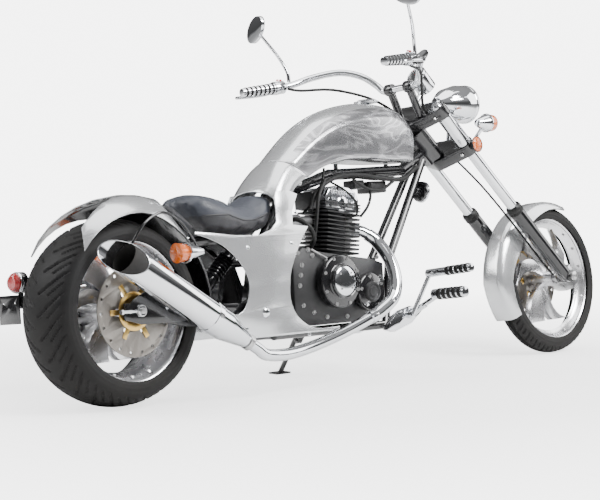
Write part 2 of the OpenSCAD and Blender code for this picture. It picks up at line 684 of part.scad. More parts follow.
module fork_clamps() {
  color("black") fork() {
    clamp(lower_clamp_s, clamp_t);
    clamp(upper_clamp_s, clamp_t);
    translate([0, 0, lower_clamp_s]) cylinder(h = upper_clamp_s - lower_clamp_s + 2, r = 15);
    // Handlebar risers
    for (k = [-1, 1]) translate(on_fork([1428, k * 46, 1037])) {
      difference() {
        rotate([90, 0, 0]) cylinder(h = 28, r = bar_r + 9, center = true);
        rotate([90, 0, 0]) cylinder(h = 40, r = bar_r, center = true);
      }
    }
    for (k = [-1, 1]) {
      a = [18, k * 46, upper_clamp_s + clamp_t - 1];
      b = on_fork([1428, k * 46, 1037]);
      rod(a, b - (bar_r + 4) * unit(b - a), 15);
    }
  }
}

// ---- handlebar and what it carries ----
bar_line = [[1428, 60, 1037], [1428, 80, 1037.6], [1419, 104, 1064], [1385, 145, 1103],
  [1340, 210, 1126], [1262, 270, 1116],
  [1192, 304, 1095]];
grip_in = [1140, 316.4, 1085];
grip_out = [954, 346, 1066];
grip_dir = unit(grip_out - grip_in);
module handlebar() {
  color("silver") fork() {
    translate(on_fork([1428, 0, 1037])) rotate([90, 0, 0]) cylinder(h = 142, r = bar_r, center = true);
    mirrored() {
      pipe([for (q = concat(bend(concat(bar_line, [grip_in - 12 * grip_dir]), 4), [grip_out - 14 * grip_dir]))
        on_fork(q)], bar_r - 0.3, 16, [0, 0, 1]);
    }
  }
}
module hand_controls() {
  a = on_fork(grip_in);
  b = on_fork(grip_out);
  d = unit(b - a);
  color("silver") fork() mirrored() {
    difference() {
      union() {
        // Tapered grip, switch block and lever perch
        rod(a, a + 44 * d, 24);
        pipe([a + 43 * d, b], [20, 15], 24, [0, 0, 1]);
        rod(a + 20 * d, on_fork([1128, 356, 1078]), 12);
      }
      rod(a - 5 * d, b - 12 * d, bar_r + 0.1);
    }
    pipe([for (q = bend([[1132, 352, 1078], [1120, 384, 1070], [1075, 405, 1064], [1025, 412, 1060],
      [985, 408, 1056]], 3)) on_fork(q)], [8, 6], 12, [0, 0, 1]);
  }
}
mirror_c = [1080, 366, 1306];
module mirrors() {
  color("silver") fork() mirrored() {
    pipe([for (q = bend([[1168, 309, 1104.1], [1166, 310, 1140], [1145, 328, 1200], [1108, 350, 1262],
      [1084, 364, 1302]], 3)) on_fork(q)], [7, 5], 12, [1, 0, 0]);
    translate(on_fork(mirror_c)) rotate([0, 46, 0]) rotate([0, 0, -14]) rotate([-32, 0, 0])
      rotate([0, 90, 0]) linear_extrude(14, center = true)
        polygon([for (a = [0:10:350]) [39 * cos(a), 62 * sin(a)]]);
  }
}
module gauge() {
  color("silver") fork() translate(on_fork([1556, 0, 1066])) {
    translate([0, 0, -40]) cylinder(h = 74, r = 38);
    // Bracket lying on the upper clamp
    foot = [70, 0, upper_clamp_s + clamp_t + 9.4] - on_fork([1556, 0, 1066]);
    rod([0, 0, foot.z], foot, 9);
  }
}
module headlight() {
  color("silver") fork() {
    translate(on_fork([1800, 0, 980])) rotate([0, 46, 0]) rotate([0, -90, 0]) {
      cylinder(h = 60, r = lamp_r);
      translate([0, 0, 60]) cylinder(h = 60, r1 = lamp_r, r2 = lamp_r - 14);
      translate([0, 0, 120]) cylinder(h = 48, r1 = lamp_r - 14, r2 = 26);
    }
    // Stem from the front of the lower clamp
    rod([fork_offset + leg_r + 17.5, 0, lower_clamp_s + 23], [190, 0, -45], 11);
  }
}
module front_signals() {
  out = unit([90, 65, 0]);
  color("orange") fork() mirrored() {
    translate(on_fork([1700, 172, 884])) rotate([0, 46, 0]) {
      rotate([0, 90, 0]) cylinder(h = 34, r1 = 34, r2 = 30);
      rotate([0, -90, 0]) cylinder(h = 52, r1 = 34, r2 = 14);
    }
    // Stem from the side of the lower clamp
    rod([fork_offset, leg_y, lower_clamp_s + 24] + (leg_r + 14.2) * out, [136, 162, -78], 7);
  }
}
module front_fender() {
  // Inner radius, half width and side drop at an angle round the axle
  angles = [for (a = [68:7:208]) a];
  function inner(a) = front_r + (a < 100 ? 9 : a < 180 ? 9 + (a - 100) * 0.45 : 45 - (a - 180) * 0.9);
  function half(a) = front_w / 2 + skin + (a < 100 ? 7 : 10);
  function drop(a) = a < 90 ? 18 + (a - 68) * 0.8 : a < 150 ? 36 + (a - 90) * 0.9 : 90 - (a - 150) * 0.9;
  function ring(a, o) = [for (k = [-6:6])
    let (t = k / 6, r = inner(a) + skin - drop(a) * pow(abs(t), 6) - o, y = t * (half(a) - o * abs(t)))
    [r * cos(a), y, r * sin(a)]];
  color("silver") front_hub() {
    skinned([for (a = angles) concat(ring(a, 0), [for (i = [12:-1:0]) ring(a, skin)[i]])], sheet = true);
    // Stays to the sliders
    mirrored() rod([(front_r - 20) * cos(136), half(136) - 4.2, (front_r - 20) * sin(136)],
      [(front_r - 20) * cos(136), leg_y - slider_r - 0.3, (front_r - 20) * sin(136)], 8);
  }
}
module front_axle() {
  color("silver") front_hub() rotate([90, 0, 0]) {
    cylinder(h = 2 * (leg_y + lug_half) + 28, r = axle_r, center = true);
    for (k = [-1, 1]) translate([0, 0, k * (leg_y + lug_half + 6)]) cylinder(h = 12, r = 17, center = true);
    // Spacers between the hub and the legs
    translate([0, 0, hub_half_front + 0.3]) cylinder(h = leg_y - lug_half - hub_half_front - 0.3, r = 15);
    translate([0, 0, -leg_y + lug_half])
      cylinder(h = leg_y - lug_half - hub_half_front - disc_t - 0.3, r = 15);
  }
}
module front_caliper() {
  color("gray") front_hub() rotate([0, -46, 0]) {
    difference() {
      translate([-64, hub_half_front - 12, 86]) cube([66, 46, 74]);
      translate([0, hub_half_front + disc_t / 2, 0]) rotate([90, 0, 0])
        cylinder(h = disc_t + 4, r = front_disc_r + 6, center = true);
      translate([0, leg_y, 0]) cylinder(h = 300, r = slider_r + 0.3);
    }
  }
}
module cables() {
  color("black") fork() {
    // Brake hose down the left leg
    for (k = [-1, 1]) pipe([for (q = bend([on_fork([1138, k * 287, 1074]), on_fork([1190, k * 272, 1066]),
      on_fork([1300, k * 215, 1062]), on_fork([1400, k * 130, 1020]),
      [36, k * 74, upper_clamp_s + clamp_t + 34],
      [32, k * 72, upper_clamp_s + clamp_t + 0.9]], 4)) q], 5, 10, [0, 0, 1]);
    // Speedometer cable to the front hub
    pipe([for (q = bend([[fork_offset + 10, 0, lower_clamp_s - 2], [fork_offset - 8, -50, -fork_len * 0.35],
      [fork_offset - 14, -66, -fork_len * 0.6], [fork_offset - 20, -72, -fork_len * 0.85],
      [fork_offset - 14, -70, -fork_len + 30]], 5)) q], 4, 8);
  }
}

// ---- side stand ----
stand_pivot = [905, 104, 158];
stand_foot_x = 960;
stand_foot_y = 262;
function ground_z(y) = y * tan(lean);
stand_foot = [stand_foot_x, stand_foot_y, ground_z(stand_foot_y) - shift_z];
stand_dir = unit(stand_foot - stand_pivot);
stand_axis = unit([0, -stand_dir.z, stand_dir.y]);
module along(v) {
  rotate([0, acos(v.z), atan2(v.y, v.x)]) children();
}
module stand_boss() {
  chassis() {
    rod([905, 62, 178], stand_pivot - stand_axis * 19.5, 10);
    translate(stand_pivot) along(stand_axis) {
      translate([0, 0, -14]) cylinder(h = 30, r = 6);
      translate([0, 0, -18]) cylinder(h = 10, r = 14);
      translate([0, 0, 12]) cylinder(h = 5, r = 12);
    }
  }
}
module side_stand() {
  color("silver") chassis() difference() {
    union() {
      translate(stand_pivot) along(stand_axis) translate([0, 0, -6]) cylinder(h = 16, r = 13);
      rod(stand_pivot + stand_dir * 8 + stand_axis * 2, stand_foot - stand_dir * 14, stand_r);
      // Foot plate flat on the ground
      translate([stand_foot.x, stand_foot.y, stand_foot.z]) rotate([lean, 0, 0])
        translate([-34, -22, 0]) cube([68, 44, 6]);
    }
    translate(stand_pivot) along(stand_axis) cylinder(h = 60, r = 6 + stand_gap, center = true);
  }
}

frame();
swingarm();
rear_shock();
crankcase();
cylinder_barrel();  // cylinder
head_cover();
engine_covers();
carburettor();
fuel_tank();
fuel_cap();
body_neck();
body_panel_right();
body_panel_left();
seat();
rear_fender();
tail_lamp();
plate_bracket();
rear_signals();
exhaust_header();
muffler();
foot_controls();
rear_axle();
rear_caliper();
drive_chain();
rear_rim();
rear_tyre();
rear_disc();
rear_sprocket();
fork_tubes();
fork_sliders();
fork_clamps();
handlebar();
hand_controls();
mirrors();
gauge();
headlight();
front_signals();
front_fender();
front_caliper();
front_axle();
cables();
front_rim();
front_tyre();
front_disc();
side_stand();
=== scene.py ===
import json
import math
import bmesh
import bpy
from mathutils import Matrix, Vector
from mathutils.bvhtree import BVHTree


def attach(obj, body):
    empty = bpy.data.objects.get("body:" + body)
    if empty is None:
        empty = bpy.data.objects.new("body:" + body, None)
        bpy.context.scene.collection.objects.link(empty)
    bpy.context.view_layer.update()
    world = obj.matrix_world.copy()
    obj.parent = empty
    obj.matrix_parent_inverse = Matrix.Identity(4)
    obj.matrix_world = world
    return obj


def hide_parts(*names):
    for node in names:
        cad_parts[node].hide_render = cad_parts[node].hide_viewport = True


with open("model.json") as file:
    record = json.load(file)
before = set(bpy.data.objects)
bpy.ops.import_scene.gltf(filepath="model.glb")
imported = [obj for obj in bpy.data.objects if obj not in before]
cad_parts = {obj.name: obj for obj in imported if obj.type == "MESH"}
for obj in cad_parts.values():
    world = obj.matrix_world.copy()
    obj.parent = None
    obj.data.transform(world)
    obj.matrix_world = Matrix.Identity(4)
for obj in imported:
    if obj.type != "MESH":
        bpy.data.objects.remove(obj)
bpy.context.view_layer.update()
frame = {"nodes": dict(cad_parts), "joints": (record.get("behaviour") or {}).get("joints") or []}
print("frame loaded")

# Camera, level with the engine and looking at the bike's right side
view = {"target": (-0.282, -0.121, 0.465), "azimuth": -44.328, "elevation": 3.589,
        "distance": 6.78, "lens": 118.1}
turn, rise = math.radians(view["azimuth"]), math.radians(view["elevation"])
back = Vector((math.sin(turn) * math.cos(rise), -math.cos(turn) * math.cos(rise), math.sin(rise)))
camera = bpy.data.objects.new("camera", bpy.data.cameras.new("camera"))
camera.data.lens = view["lens"]
camera.data.sensor_width = 36
camera.location = Vector(view["target"]) + view["distance"] * back
camera.rotation_euler = back.to_track_quat("Z", "Y").to_euler()
bpy.context.collection.objects.link(camera)
bpy.context.scene.camera = camera

# Axes of the leaning bike, its wheels and its fork, all in millimetres
joints = {j["name"]: j for j in frame["joints"]}
mm = Matrix.Scale(0.001, 4)


def axesAt(origin, x, y, z):
    axes = Matrix((x, y, z)).transposed().to_4x4()
    return Matrix.Translation(origin) @ axes @ mm


rearSpin, frontSpin, steering = joints["rear_wheel_spin"], joints["front_wheel_spin"], joints["steering"]
bikeY = Vector(rearSpin["axis"]).normalized()
bikeX = Vector((1, 0, 0))
bikeZ = bikeX.cross(bikeY)
rearCentre = Vector(rearSpin["pos_m"])
rearHub = axesAt(rearCentre, bikeX, bikeY, bikeZ)
axleHeight = rearCentre.z / bikeZ.z
bike = axesAt(rearCentre - bikeZ * axleHeight, bikeX, bikeY, bikeZ)
forkS = Vector(steering["axis"]).normalized()
forkY = Vector(frontSpin["axis"]).normalized()
forkN = forkY.cross(forkS)
fork = axesAt(Vector(steering["pos_m"]), forkN, forkY, forkS)
rake = forkS.angle(bikeZ)
frontHub = axesAt(Vector(frontSpin["pos_m"]), forkN * math.cos(rake) - forkS * math.sin(rake), forkY,
                  forkN * math.sin(rake) + forkS * math.cos(rake))
headPlace = bike.inverted() @ Vector(steering["pos_m"])


# A point of the straight, level bike in the fork's own axes
def onFork(x, y, z):
    dx, dz = x - headPlace.x, z - headPlace.z
    return Vector((dx * math.cos(rake) + dz * math.sin(rake), y, dz * math.cos(rake) - dx * math.sin(rake)))


# Groups of shader nodes that the materials share
def newGroup(name, inputs, outputs):
    group = bpy.data.node_groups.new(name, "ShaderNodeTree")
    for label, kind, value in inputs:
        socket = group.interface.new_socket(label, in_out="INPUT", socket_type=kind)
        socket.default_value = value
    for label, kind in outputs:
        group.interface.new_socket(label, in_out="OUTPUT", socket_type=kind)
    return group, group.nodes.new("NodeGroupInput"), group.nodes.new("NodeGroupOutput")


def node(tree, kind, values=None, **settings):
    made = tree.nodes.new(kind)
    for key, value in settings.items():
        setattr(made, key, value)
    for key, value in (values or {}).items():
        made.inputs[key].default_value = value
    return made


# Each link is a node and its output, then a node and its input
def wire(tree, *links):
    for source, outlet, target, inlet in links:
        tree.links.new(source.outputs[outlet], target.inputs[inlet])


number, colourKind, vectorKind = "NodeSocketFloat", "NodeSocketColor", "NodeSocketVector"


# Two colours mixed in soft clouds, with matching roughness
def makeMottle():
    group, given, out = newGroup("mottle", [
        ("Vector", vectorKind, (0, 0, 0)), ("Scale", number, 8.0), ("Colour", colourKind, (0.5, 0.5, 0.5, 1)),
        ("Second Colour", colourKind, (0.4, 0.4, 0.4, 1)), ("Roughness", number, 0.3),
        ("Roughness Spread", number, 0.1)], [("Colour", colourKind), ("Roughness", number), ("Mask", number)])
    cloud = node(group, "ShaderNodeTexNoise", {"Detail": 6.0, "Roughness": 0.62})
    sharpen = node(group, "ShaderNodeMapRange", {"From Min": 0.32, "From Max": 0.68})
    mix = node(group, "ShaderNodeMix", data_type="RGBA")
    spread = node(group, "ShaderNodeMath", operation="MULTIPLY_ADD")
    wire(group, (given, "Vector", cloud, "Vector"), (given, "Scale", cloud, "Scale"),
         (cloud, "Fac", sharpen, "Value"), (sharpen, "Result", mix, "Factor"),
         (given, "Colour", mix, "A"), (given, "Second Colour", mix, "B"),
         (sharpen, "Result", spread, 0), (given, "Roughness Spread", spread, 1),
         (given, "Roughness", spread, 2), (mix, "Result", out, "Colour"),
         (spread, "Value", out, "Roughness"), (sharpen, "Result", out, "Mask"))
    return group


# Road dust that settles low on the bike and in soft patches
def makeDust():
    group, given, out = newGroup("roadDust", [
        ("Vector", vectorKind, (0, 0, 0)), ("Colour", colourKind, (0.5, 0.5, 0.5, 1)),
                                              ("Roughness", number, 0.3),
        ("Amount", number, 0.3), ("Height", number, 0.45)], [("Colour", colourKind), ("Roughness", number)])
    split = node(group, "ShaderNodeSeparateXYZ")
    low = node(group, "ShaderNodeMapRange", {"From Min": 0.0, "To Min": 1.0, "To Max": 0.0})
    patch = node(group, "ShaderNodeTexNoise", {"Scale": 26.0, "Detail": 8.0, "Roughness": 0.7})
    grow = node(group, "ShaderNodeMath", operation="MULTIPLY")
    amount = node(group, "ShaderNodeMath", operation="MULTIPLY", use_clamp=True)
    tint = node(group, "ShaderNodeMix", {"B": (0.16, 0.14, 0.12, 1)}, data_type="RGBA")
    dull = node(group, "ShaderNodeMix", {"B": 0.75}, data_type="FLOAT")
    wire(group, (given, "Vector", split, "Vector"), (split, "Z", low, "Value"),
         (given, "Height", low, "From Max"), (given, "Vector", patch, "Vector"),
         (low, "Result", grow, 0), (patch, "Fac", grow, 1),
         (grow, "Value", amount, 0), (given, "Amount", amount, 1),
         (amount, "Value", tint, "Factor"), (amount, "Value", dull, "Factor"),
         (given, "Colour", tint, "A"), (given, "Roughness", dull, "A"),
         (tint, "Result", out, "Colour"), (dull, "Result", out, "Roughness"))
    return group


# Fine grain as a height, with optional long brushing
def makeGrain():
    group, given, out = newGroup("fineGrain", [
        ("Vector", vectorKind, (0, 0, 0)), ("Scale", number, 400.0), ("Stretch", vectorKind, (1, 1, 1)),
        ("Strength", number, 1.0)], [("Height", number)])
    stretch = node(group, "ShaderNodeVectorMath", operation="MULTIPLY")
    fine = node(group, "ShaderNodeTexNoise", {"Detail": 5.0, "Roughness": 0.6})
    level = node(group, "ShaderNodeMath", operation="MULTIPLY")
    wire(group, (given, "Vector", stretch, 0), (given, "Stretch", stretch, 1),
         (stretch, "Vector", fine, "Vector"), (given, "Scale", fine, "Scale"),
         (fine, "Fac", level, 0), (given, "Strength", level, 1),
         (level, "Value", out, "Height"))
    return group


# Leather creases: cells with rounded pillows between them
def makeLeatherGrain():
    group, given, out = newGroup("leatherGrain", [
        ("Vector", vectorKind, (0, 0, 0)), ("Scale", number, 260.0)], [("Height", number), ("Crease", number)])
    warp = node(group, "ShaderNodeTexNoise", {"Scale": 40.0, "Detail": 3.0})
    shift = node(group, "ShaderNodeVectorMath", {1: (0.012, 0.012, 0.012)}, operation="MULTIPLY")
    moved = node(group, "ShaderNodeVectorMath", operation="ADD")
    cells = node(group, "ShaderNodeTexVoronoi", feature="DISTANCE_TO_EDGE")
    pillow = node(group, "ShaderNodeMapRange", {"From Max": 0.22}, interpolation_type="SMOOTHSTEP")
    wire(group, (given, "Vector", warp, "Vector"), (warp, "Color", shift, 0),
         (given, "Vector", moved, 0), (shift, "Vector", moved, 1),
         (moved, "Vector", cells, "Vector"), (given, "Scale", cells, "Scale"),
         (cells, "Distance", pillow, "Value"), (pillow, "Result", out, "Height"),
         (pillow, "Result", out, "Crease"))
    return group


mottle, roadDust, fineGrain, leatherGrain = makeMottle(), makeDust(), makeGrain(), makeLeatherGrain()


def place(tree, group, values=None):
    made = tree.nodes.new("ShaderNodeGroup")
    made.node_tree = group
    for key, value in (values or {}).items():
        made.inputs[key].default_value = value
    return made


def rgba(*c):
    return (c[0], c[1], c[2], 1.0)


# Grey stops of a colour ramp; the blue share may differ a little
def setStops(ramp, stops, blue=1.0):
    elements = ramp.color_ramp.elements
    for at, level in stops:
        stop = elements.new(at) if at not in (0.0, 1.0) else elements[int(at)]
        stop.color = (level, level, level * blue, 1)


# A material's tree, its shader and new texture coordinates, to add to a finish
def opened(material):
    tree = material.node_tree
    return tree, tree.nodes["Principled BSDF"], node(tree, "ShaderNodeTexCoord")


# A metal, paint, rubber or plastic: mottled colour, grain in the bump and dust low down
def makeFinish(name, colour, second, roughness, metallic=0.0, spread=0.08, scale=9.0, grain=500.0, bump=0.05,
               stretch=(1, 1, 1), dust=0.05, dustHeight=0.4, depth=0.0004, **shaderValues):
    material = bpy.data.materials.new(name)
    material.use_nodes = True
    tree = material.node_tree
    shader = tree.nodes["Principled BSDF"]
    shader.inputs["Metallic"].default_value = metallic
    for key, value in shaderValues.items():
        shader.inputs[key.replace("_", " ")].default_value = value
    spot = node(tree, "ShaderNodeTexCoord")
    clouds = place(tree, mottle, {"Scale": scale, "Colour": rgba(*colour), "Second Colour": rgba(*second),
                                  "Roughness": roughness, "Roughness Spread": spread})
    dusty = place(tree, roadDust, {"Amount": dust, "Height": dustHeight})
    fine = place(tree, fineGrain, {"Scale": grain, "Stretch": stretch})
    relief = node(tree, "ShaderNodeBump", {"Strength": bump, "Distance": depth})
    wire(tree, (spot, "Object", clouds, "Vector"), (spot, "Object", dusty, "Vector"),
         (spot, "Object", fine, "Vector"), (clouds, "Colour", dusty, "Colour"),
         (clouds, "Roughness", dusty, "Roughness"), (dusty, "Colour", shader, "Base Color"),
         (dusty, "Roughness", shader, "Roughness"), (fine, "Height", relief, "Height"),
         (relief, "Normal", shader, "Normal"))
    return material


chrome = makeFinish("chrome", (0.86, 0.87, 0.89), (0.8, 0.82, 0.85), 0.045, metallic=1.0, spread=0.04,
                    bump=0.012,
                    dust=0.12)
steel = makeFinish("steel", (0.62, 0.62, 0.62), (0.5, 0.5, 0.5), 0.24, metallic=1.0, spread=0.12, bump=0.08,
                   stretch=(1, 0.06, 1))
castAlloy = makeFinish("castAlloy", (0.5, 0.5, 0.51), (0.38, 0.38, 0.39), 0.38, metallic=1.0, spread=0.15,
                       grain=900, bump=0.25)
wheelAlloy = makeFinish("wheelAlloy", (0.78, 0.78, 0.79), (0.68, 0.68, 0.7), 0.2, metallic=1.0, spread=0.1,
                        grain=700, bump=0.08, dust=0.1)
discSteel = makeFinish("discSteel", (0.36, 0.34, 0.31), (0.25, 0.23, 0.21), 0.34, metallic=1.0, spread=0.12,
                       bump=0.1)
gold = makeFinish("goldAnodised", (0.8, 0.56, 0.2), (0.66, 0.42, 0.13), 0.26, metallic=1.0, spread=0.1,
                  bump=0.1)
blackPaint = makeFinish("blackPaint", (0.004, 0.004, 0.005), (0.009, 0.009, 0.01), 0.14, spread=0.08, bump=0.03,
                        Coat_Weight=0.6, Coat_Roughness=0.06)
engineBlack = makeFinish("engineBlack", (0.006, 0.006, 0.007), (0.014, 0.014, 0.015), 0.36, spread=0.14,
                         grain=1300,
                         bump=0.4, depth=0.0006)
blackRubber = makeFinish("blackRubber", (0.006, 0.006, 0.006), (0.012, 0.012, 0.012), 0.45, spread=0.15,
                         bump=0.2,
                         Specular_IOR_Level=0.3)
tyreRubber = makeFinish("tyreRubber", (0.009, 0.009, 0.0095), (0.018, 0.0175, 0.017), 0.55, spread=0.18,
                        scale=5,
                        grain=900, bump=0.25, dust=0.05, Specular_IOR_Level=0.18)
blackPlastic = makeFinish("blackPlastic", (0.015, 0.015, 0.016), (0.025, 0.025, 0.026), 0.35, spread=0.1,
                          bump=0.2)
redPlastic = makeFinish("redPlastic", (0.55, 0.02, 0.02), (0.42, 0.01, 0.01), 0.3, bump=0.05)
# Near-black for the muffler's inside: real soot and painted shade deep in the mouth
sootAndShadeBlack = makeFinish("sootAndShadeBlack", (0.01, 0.01, 0.01), (0.025, 0.022, 0.02), 0.85, spread=0.1, bump=0.4)
mirrorGlass = makeFinish("mirrorGlass", (0.9, 0.92, 0.94), (0.88, 0.9, 0.92), 0.01, metallic=1.0, spread=0.01,
                         bump=0.0, dust=0.05)


# Moulded lens: clear plastic over a ribbed back
def makeLens(name, colour, second, ribs):
    material = makeFinish(name, colour, second, 0.08, spread=0.05, bump=0.0, dust=0.1, Coat_Weight=1.0,
                          Transmission_Weight=0.1, Coat_Roughness=0.03)
    tree, shader, spot = opened(material)
    wave = node(tree, "ShaderNodeTexWave", {"Scale": ribs, "Distortion": 0.0}, bands_direction="Z")
    relief = node(tree, "ShaderNodeBump", {"Strength": 0.6, "Distance": 0.0012})
    wire(tree, (spot, "Object", wave, "Vector"), (wave, "Fac", relief, "Height"),
         (relief, "Normal", shader, "Normal"))
    return material


redLens = makeLens("redLens", (0.5, 0.001, 0.002), (0.3, 0.001, 0.001), 90)
orangeLens = makeLens("orangeLens", (0.8, 0.15, 0.0), (0.62, 0.1, 0.0), 90)
clearLens = makeLens("clearLens", (0.86, 0.88, 0.9), (0.75, 0.78, 0.8), 60)


# Silver paint with fine flake under a clear coat, with thin licks of flame drawn over it
def makeSilverPaint(name, colour, second, lines, strength):
    material = makeFinish(name, colour, second, 0.24, metallic=0.75, spread=0.03, scale=3, grain=2600,
                          bump=0.05,
                          dust=0.04, Coat_Weight=1.0, Coat_Roughness=0.03)
    tree, shader, spot = opened(material)
    lay = node(tree, "ShaderNodeMapping", {"Rotation": (0, 0.35, 0), "Scale": (2.0, 0.4, 5.5)})
    warp = node(tree, "ShaderNodeTexNoise", {"Scale": 2.6, "Detail": 1.0, "Distortion": 1.4})
    lean = node(tree, "ShaderNodeVectorMath", {1: (1.4, 1.4, 1.4)}, operation="MULTIPLY")
    bent = node(tree, "ShaderNodeVectorMath", operation="ADD")
    tongues = node(tree, "ShaderNodeTexWave", {"Scale": 0.9, "Distortion": 2.2, "Detail": 0.0},
                   bands_direction="Z")
    rim = node(tree, "ShaderNodeValToRGB")
    setStops(rim, ((0.0, 0.12), (0.44, 0.12), (0.5, 1.0), (0.56, 0.0), (1.0, 0.0)))
    share = node(tree, "ShaderNodeMath", {1: strength}, operation="MULTIPLY")
    flame = node(tree, "ShaderNodeMix", {"B": rgba(*lines)}, data_type="RGBA")
    dusty = [n for n in tree.nodes if n.type == "GROUP" and n.node_tree == roadDust][0]
    wire(tree, (spot, "Object", lay, "Vector"), (lay, "Vector", warp, "Vector"),
         (warp, "Color", lean, 0), (lay, "Vector", bent, 0),
         (lean, "Vector", bent, 1), (bent, "Vector", tongues, "Vector"),
         (tongues, "Fac", rim, "Fac"), (rim, "Color", share, 0),
         (share, "Value", flame, "Factor"), (dusty, "Colour", flame, "A"),
         (flame, "Result", shader, "Base Color"))
    return material


silverPaint = makeSilverPaint("silverPaint", (0.66, 0.67, 0.68), (0.61, 0.62, 0.63), (0.5, 0.5, 0.56), 0.12)
# The tank's sides take a darker copy: painted shade on the flanks below the lit top band, with pale flame licks
# over it
shadedFlamePaint = makeSilverPaint("shadedFlamePaint", (0.25, 0.25, 0.26), (0.21, 0.21, 0.22), (0.68, 0.68, 0.7), 0.65)


# Saddle leather: grain from cells in the bump
def makeLeather(name, colour, second, scale):
    material = makeFinish(name, colour, second, 0.34, spread=0.16, scale=14, bump=0.0, dust=0.05)
    tree, shader, spot = opened(material)
    hide = place(tree, leatherGrain, {"Scale": scale})
    relief = node(tree, "ShaderNodeBump", {"Strength": 0.35, "Distance": 0.0008})
    wire(tree, (spot, "Object", hide, "Vector"), (hide, "Height", relief, "Height"),
         (relief, "Normal", shader, "Normal"))
    return material


saddleLeather = makeLeather("saddleLeather", (0.028, 0.032, 0.044), (0.045, 0.05, 0.064), 300)
blackLeather = makeLeather("blackLeather", (0.012, 0.012, 0.014), (0.03, 0.03, 0.035), 320)
print("materials made")


# Helpers that make and place pieces
def finishPiece(name, bm, placing, body, slotName, materials, sharp=35, recalc=True):
    if recalc:
        bmesh.ops.recalc_face_normals(bm, faces=bm.faces)
    bm.transform(placing)
    mesh = bpy.data.meshes.new(name)
    bm.to_mesh(mesh)
    bm.free()
    for m in materials if isinstance(materials, (list, tuple)) else [materials]:
        mesh.materials.append(m)
    mesh.polygons.foreach_set("use_smooth", [True] * len(mesh.polygons))
    mesh.set_sharp_from_angle(angle=math.radians(sharp))
    piece = bpy.data.objects.new(name, mesh)
    bpy.context.collection.objects.link(piece)
    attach(piece, body)
    return piece


def softEdges(bm, width, angle=30, segments=2):
    edges = [e for e in bm.edges if len(e.link_faces) == 2 and e.calc_face_angle(0) > math.radians(angle)]
    bmesh.ops.bevel(bm, geom=edges, offset=width, affect="EDGES", segments=segments, profile=0.5, material=-1,
                    clamp_overlap=True)


# Turns a profile of [radius, along] about the local Z axis
def turned(bm, profile, steps=48, matrix=Matrix.Identity(4)):
    verts = [bm.verts.new((r, 0, h)) for r, h in profile]
    edges = [bm.edges.new(pair) for pair in zip(verts, verts[1:])]
    made = bmesh.ops.spin(bm, geom=verts + edges, cent=(0, 0, 0), axis=(0, 0, 1), dvec=(0, 0, 0),
                          angle=2 * math.pi, steps=steps, use_merge=True, use_normal_flip=False,
                          use_duplicate=False)
    found = {v for e in edges for v in e.verts}
    reach = set(found)
    stack = list(found)
    while stack:
        for e in stack.pop().link_edges:
            for v in e.verts:
                if v not in reach:
                    reach.add(v)
                    stack.append(v)
    flat = [v for v in reach if abs(v.co.x) + abs(v.co.y) < 1e-6]
    bmesh.ops.remove_doubles(bm, verts=flat, dist=1e-4)
    reach = [v for v in reach if v.is_valid]
    bmesh.ops.transform(bm, matrix=matrix, verts=reach)
    return reach


def pointing(p, q, side=Vector((0, 0, 1))):
    z = (Vector(q) - Vector(p)).normalized()
    x = side.cross(z)
    x = x.normalized() if x.length > 1e-4 else Vector((1, 0, 0))
    return Matrix.Translation(p) @ Matrix((x, z.cross(x), z)).transposed().to_4x4()


# Domed or hexagon screw head standing on a point and facing along a direction
def screw(bm, at, facing, r, h, hexagon=False):
    profile = [(0, h), (r * 0.55, h), (r * 0.86, h * 0.82), (r, h * 0.45), (r, 0)] if not hexagon else \
        [(0, h * 0.92), (r * 0.6, h), (r * 0.92, h), (r, h * 0.85), (r, 0.18 * h), (r * 1.25, 0.16 * h),
         (r * 1.25, 0)]
    turned(bm, profile, 6 if hexagon else 14, pointing(Vector(at), Vector(at) + Vector(facing)))


def smoothPath(points, per=6):
    spots = [Vector(p) for p in points]
    ends = [2 * spots[0] - spots[1]] + spots + [2 * spots[-1] - spots[-2]]
    line = []
    for a, b, c, d in zip(ends, ends[1:], ends[2:], ends[3:]):
        for k in range(per):
            t = k / per
            line.append(0.5 * ((2 * b) + (c - a) * t + (2 * a - 5 * b + 4 * c - d) * t * t
                               + (3 * b - a - 3 * c + d) * t ** 3))
    return line + [spots[-1]]


# Skin from ring to ring of joined points, with both ends closed
def joinRings(bm, rings):
    for a, b in zip(rings, rings[1:]):
        loops = [bm.edges.get((r[k], r[(k + 1) % len(r)])) for r in (a, b) for k in range(len(r))]
        bmesh.ops.bridge_loops(bm, edges=loops)
    return [bm.faces.new(ring) for ring in (rings[0][::-1], rings[-1])]


# Round tube swept along a smooth line; radius may be one number or one for each point
def sweptTube(bm, line, radius, sides=14):
    radii = radius if isinstance(radius, (list, tuple)) else [radius] * len(line)
    side = Vector((0, 0, 1))
    rings = []
    for i, spot in enumerate(line):
        way = (line[min(i + 1, len(line) - 1)] - line[max(i - 1, 0)]).normalized()
        side = side - way * side.dot(way)
        side = side.normalized() if side.length > 1e-3 else way.orthogonal().normalized()
        spin = Matrix((side, way.cross(side), way)).transposed().to_4x4()
        made = bmesh.ops.create_circle(bm, segments=sides, radius=radii[i],
                                       matrix=Matrix.Translation(spot) @ spin)
        rings.append(made["verts"])
    joinRings(bm, rings)
    return rings


def block(bm, low, high, bevel=0.0, matrix=Matrix.Identity(4)):
    low, high = Vector(low), Vector(high)
    size = high - low
    made = bmesh.ops.create_cube(bm, size=1, matrix=matrix @ Matrix.Translation((low + high) / 2)
                                 @ Matrix.Diagonal((size.x, size.y, size.z, 1)))
    if bevel:
        edges = list({e for v in made["verts"] for e in v.link_edges})
        bmesh.ops.bevel(bm, geom=edges, offset=bevel, affect="EDGES", segments=2, profile=0.5, material=-1,
                        clamp_overlap=True)


